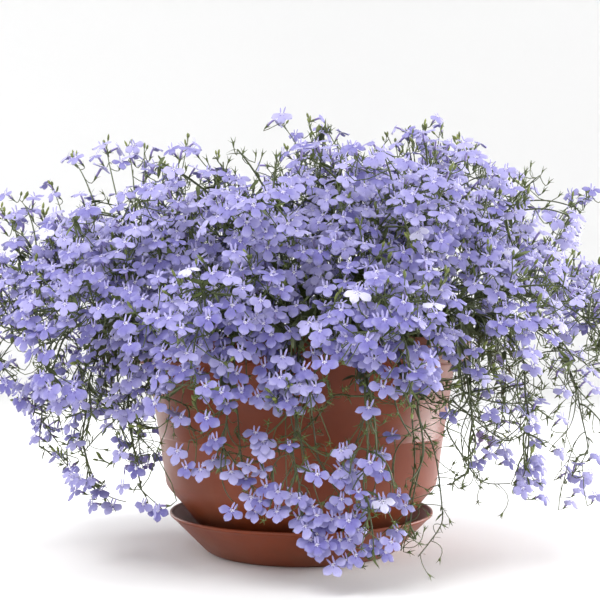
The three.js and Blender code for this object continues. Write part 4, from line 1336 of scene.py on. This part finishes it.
    def dress(self, plumes):
        """Everything that grows from the stem. The order sets the random draws."""
        self.add_stem()
        for (*tip, number), step in plumes:
            self.add_riser(self.path[step], np.array(tip) * MM, number, True)
        for head in heads_of(self.name):
            self.dress_head(head)
        if self.name.startswith(TRAILING):
            place = int(self.name.removeprefix(TRAILING))
            if place in BUNCHES:
                self.add_bunch(*BUNCHES[place])
            if place in HUNG_FLOWERS:
                self.add_hung(HUNG_FLOWERS[place])
            for knots in STRANDS.get(place, ()):
                self.add_strand(knots)
            self.add_between(*BETWEEN_TRAILING_HEADS)
            self.add_skirt(FULL_SKIRT_SPRIGS if place in FULL_SKIRTS else SKIRT_SPRIGS)
        else:
            self.add_between(*BETWEEN_HEADS)
            self.add_twigs(TWIGS)
            self.add_end_riser()

    def pieces(self, materials):
        """The two pieces that stand for the spray: its flowers, and its stems and leaves."""
        flowers = self.blooms.piece(f"{self.name}_flowers", materials["petal"])
        leaves = self.greens.piece(f"{self.name}_leaves", materials["green"])
        for made, slot in ((flowers, "bloom"), (leaves, "foliage")):
            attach(made, "root")
            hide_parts(self.name)


def material(name, make, *values):
    """A material made once."""
    return bpy.data.materials.get(name) or make(*values)


# A height in metres above all stems.
ALL_HEIGHTS = 1.0
# A plume's stem leaves the canopy this far below its tip, and nearer the pot's axis by this share.
PLUME_LENGTH = 44
PLUME_INWARD = [0.93, 0.93, 1]


def dress_sprays(context, stems, hangs_below, first_seed, plumes=()):
    """Dresses each stem's spray. A stem whose tip is below a height hangs. A plume grows from the nearest
    point of any stem below it."""
    settings = context.scene.lobelia
    materials = {
        "petal": material("petal", petal_material, settings.flowers),
        "green": material("green", green_material, settings.foliage),
    }
    stems = list(stems)
    paths = np.array([path for _, _, path in stems])
    owners = []
    for plume in plumes:
        foot = np.array(plume[:3]) * PLUME_INWARD * MM - UP * PLUME_LENGTH * MM
        owners.append(np.unravel_index(np.linalg.norm(paths - foot, axis=2).argmin(), paths.shape[:2]))
    for k, (name, bearing, path) in enumerate(stems):
        spray = Spray(name, bearing, path, path[-1, 2] < hangs_below, first_seed + k)
        spray.dress([(plume, step) for plume, (owner, step) in zip(plumes, owners) if owner == k])
        spray.pieces(materials)


# ---- Operators ---------------------------------------------------------------------------------
class LOBELIA_OT_saucer(bpy.types.Operator):
    """Turns the saucer from its profile"""

    bl_idname = "lobelia.saucer"
    bl_label = "Saucer"

    def execute(self, context):
        holder = context.scene.lobelia.holder
        finish = plastic("saucer_plastic", holder, 0.25, 2 * MM, 30 * MM)
        made = turned("saucer_moulding", saucer_profile(holder), 144, finish)
        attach(made, "root")
        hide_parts("saucer")
        return {"FINISHED"}


class LOBELIA_OT_pot(bpy.types.Operator):
    """Turns the pot from its profile"""

    bl_idname = "lobelia.pot"
    bl_label = "Pot"

    def execute(self, context):
        holder = context.scene.lobelia.holder
        finish = plastic("pot_plastic", holder, 0.2, 10 * MM, 75 * MM)
        made = turned("pot_moulding", pot_profile(holder), 144, finish)
        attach(made, "root")
        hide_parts("pot")
        return {"FINISHED"}


class LOBELIA_OT_soil(bpy.types.Operator):
    """Fills the pot with crumbly compost"""

    bl_idname = "lobelia.soil"
    bl_label = "Soil"

    def execute(self, context):
        made = soil_piece(compost_material())
        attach(made, "root")
        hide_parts("soil")
        return {"FINISHED"}


class LOBELIA_OT_upright_sprays(bpy.types.Operator):
    """Dresses the sprays that make the dome"""

    bl_idname = "lobelia.upright_sprays"
    bl_label = "Sprays of the dome"

    def execute(self, context):
        dress_sprays(context, upright_stems(), SOIL_TOP * MM, UPRIGHT_SEED, PLUMES)
        return {"FINISHED"}


class LOBELIA_OT_trailing_sprays(bpy.types.Operator):
    """Dresses the sprays that hang over the rim"""

    bl_idname = "lobelia.trailing_sprays"
    bl_label = "Trailing sprays"

    def execute(self, context):
        dress_sprays(context, spilling_stems(), ALL_HEIGHTS, SPILLING_SEED)
        return {"FINISHED"}


# The lights look at this place.
PLANT_MIDDLE = np.array([0, 0, 0.15])
# The backdrop in metres: flat floor, quarter round and wall.
FLOOR_RADIUS = 3.0
SWEEP_RADIUS = 1.2
WALL_TOP = 3.4
# Square area lights: place, size in metres and power.
LIGHTS = {
    "key": ((-0.85, -1.35, 2.3), 1.4, 51),
    "left": ((-1.3, 1.2, 0.5), 0.8, 12),
    "right": ((1.5, 0.45, 0.42), 0.9, 37),
}
SENSOR_WIDTH = 36


def soft_light(name, place, size, power):
    """A square area light that looks at the middle of the plant."""
    lamp = bpy.data.lights.new(name, "AREA")
    lamp.size = size
    lamp.energy = power
    made = bpy.data.objects.new(name, lamp)
    made.location = place
    made.rotation_euler = Vector(PLANT_MIDDLE - np.array(place)).to_track_quat("-Z", "Y").to_euler()
    bpy.context.scene.collection.objects.link(made)


class LOBELIA_OT_stage(bpy.types.Operator):
    """Sets up the round pale backdrop, the soft lights and the camera"""

    bl_idname = "lobelia.stage"
    bl_label = "Stage"

    def execute(self, context):
        stage = context.scene.lobelia.stage
        shader = Shader("stage_paint", Roughness=0.9, Base_Color=rgba(stage.floor))
        sweep = [(0, 0), (1.0, 0), (FLOOR_RADIUS, 0)]
        for turn in np.linspace(0, math.pi / 2, 12)[1:]:
            reach = FLOOR_RADIUS + SWEEP_RADIUS * math.sin(turn)
            sweep.append((reach, SWEEP_RADIUS - SWEEP_RADIUS * math.cos(turn)))
        sweep.append((FLOOR_RADIUS + SWEEP_RADIUS, WALL_TOP))
        floor = round_piece("backdrop", revolved(sweep, 96), shader.material, welded=False)
        world = bpy.data.worlds.new("studio")
        world.use_nodes = True
        background = world.node_tree.nodes["Background"]
        background.inputs["Color"].default_value = (1.0, 1.0, 1.0, 1.0)
        background.inputs["Strength"].default_value = 1.0
        context.scene.world = world
        for name, light in LIGHTS.items():
            soft_light(name, *light)
        lens = bpy.data.cameras.new("camera")
        lens.sensor_width = SENSOR_WIDTH
        lens.lens = SENSOR_WIDTH / 2 / math.tan(stage.angle / 2)
        camera = bpy.data.objects.new("camera", lens)
        camera.location = (-0.001, -stage.distance, stage.height)
        camera.rotation_euler = (math.pi / 2, 0, 0)
        lens.shift_y = 0.1
        context.scene.collection.objects.link(camera)
        context.scene.camera = camera
        context.scene.view_settings.view_transform = "Standard"
        return {"FINISHED"}


class LOBELIA_PT_panel(bpy.types.Panel):
    """Lists what the add-on builds."""

    bl_idname = "LOBELIA_PT_panel"
    bl_label = "Trailing lobelia"
    bl_space_type = "VIEW_3D"
    bl_region_type = "UI"
    bl_category = "Lobelia"

    def draw(self, context):
        for operator in OPERATORS:
            self.layout.operator(operator.bl_idname)


OPERATORS = (
    LOBELIA_OT_saucer,
    LOBELIA_OT_pot,
    LOBELIA_OT_soil,
    LOBELIA_OT_upright_sprays,
    LOBELIA_OT_trailing_sprays,
    LOBELIA_OT_stage,
)
SETTINGS = (HolderSettings, FlowerSettings, FoliageSettings, StageSettings, LobeliaSettings)


def register():
    for one in SETTINGS + OPERATORS + (LOBELIA_PT_panel,):
        bpy.utils.register_class(one)
    bpy.types.Scene.lobelia = bpy.props.PointerProperty(type=LobeliaSettings)


def unregister():
    del bpy.types.Scene.lobelia
    for one in reversed(SETTINGS + OPERATORS + (LOBELIA_PT_panel,)):
        bpy.utils.unregister_class(one)


def main():
    register()
    bpy.ops.lobelia.saucer()
    bpy.ops.lobelia.pot()
    bpy.ops.lobelia.soil()
    bpy.ops.lobelia.upright_sprays()
    bpy.ops.lobelia.trailing_sprays()
    bpy.ops.lobelia.stage()


if __name__ == "__main__":
    main()
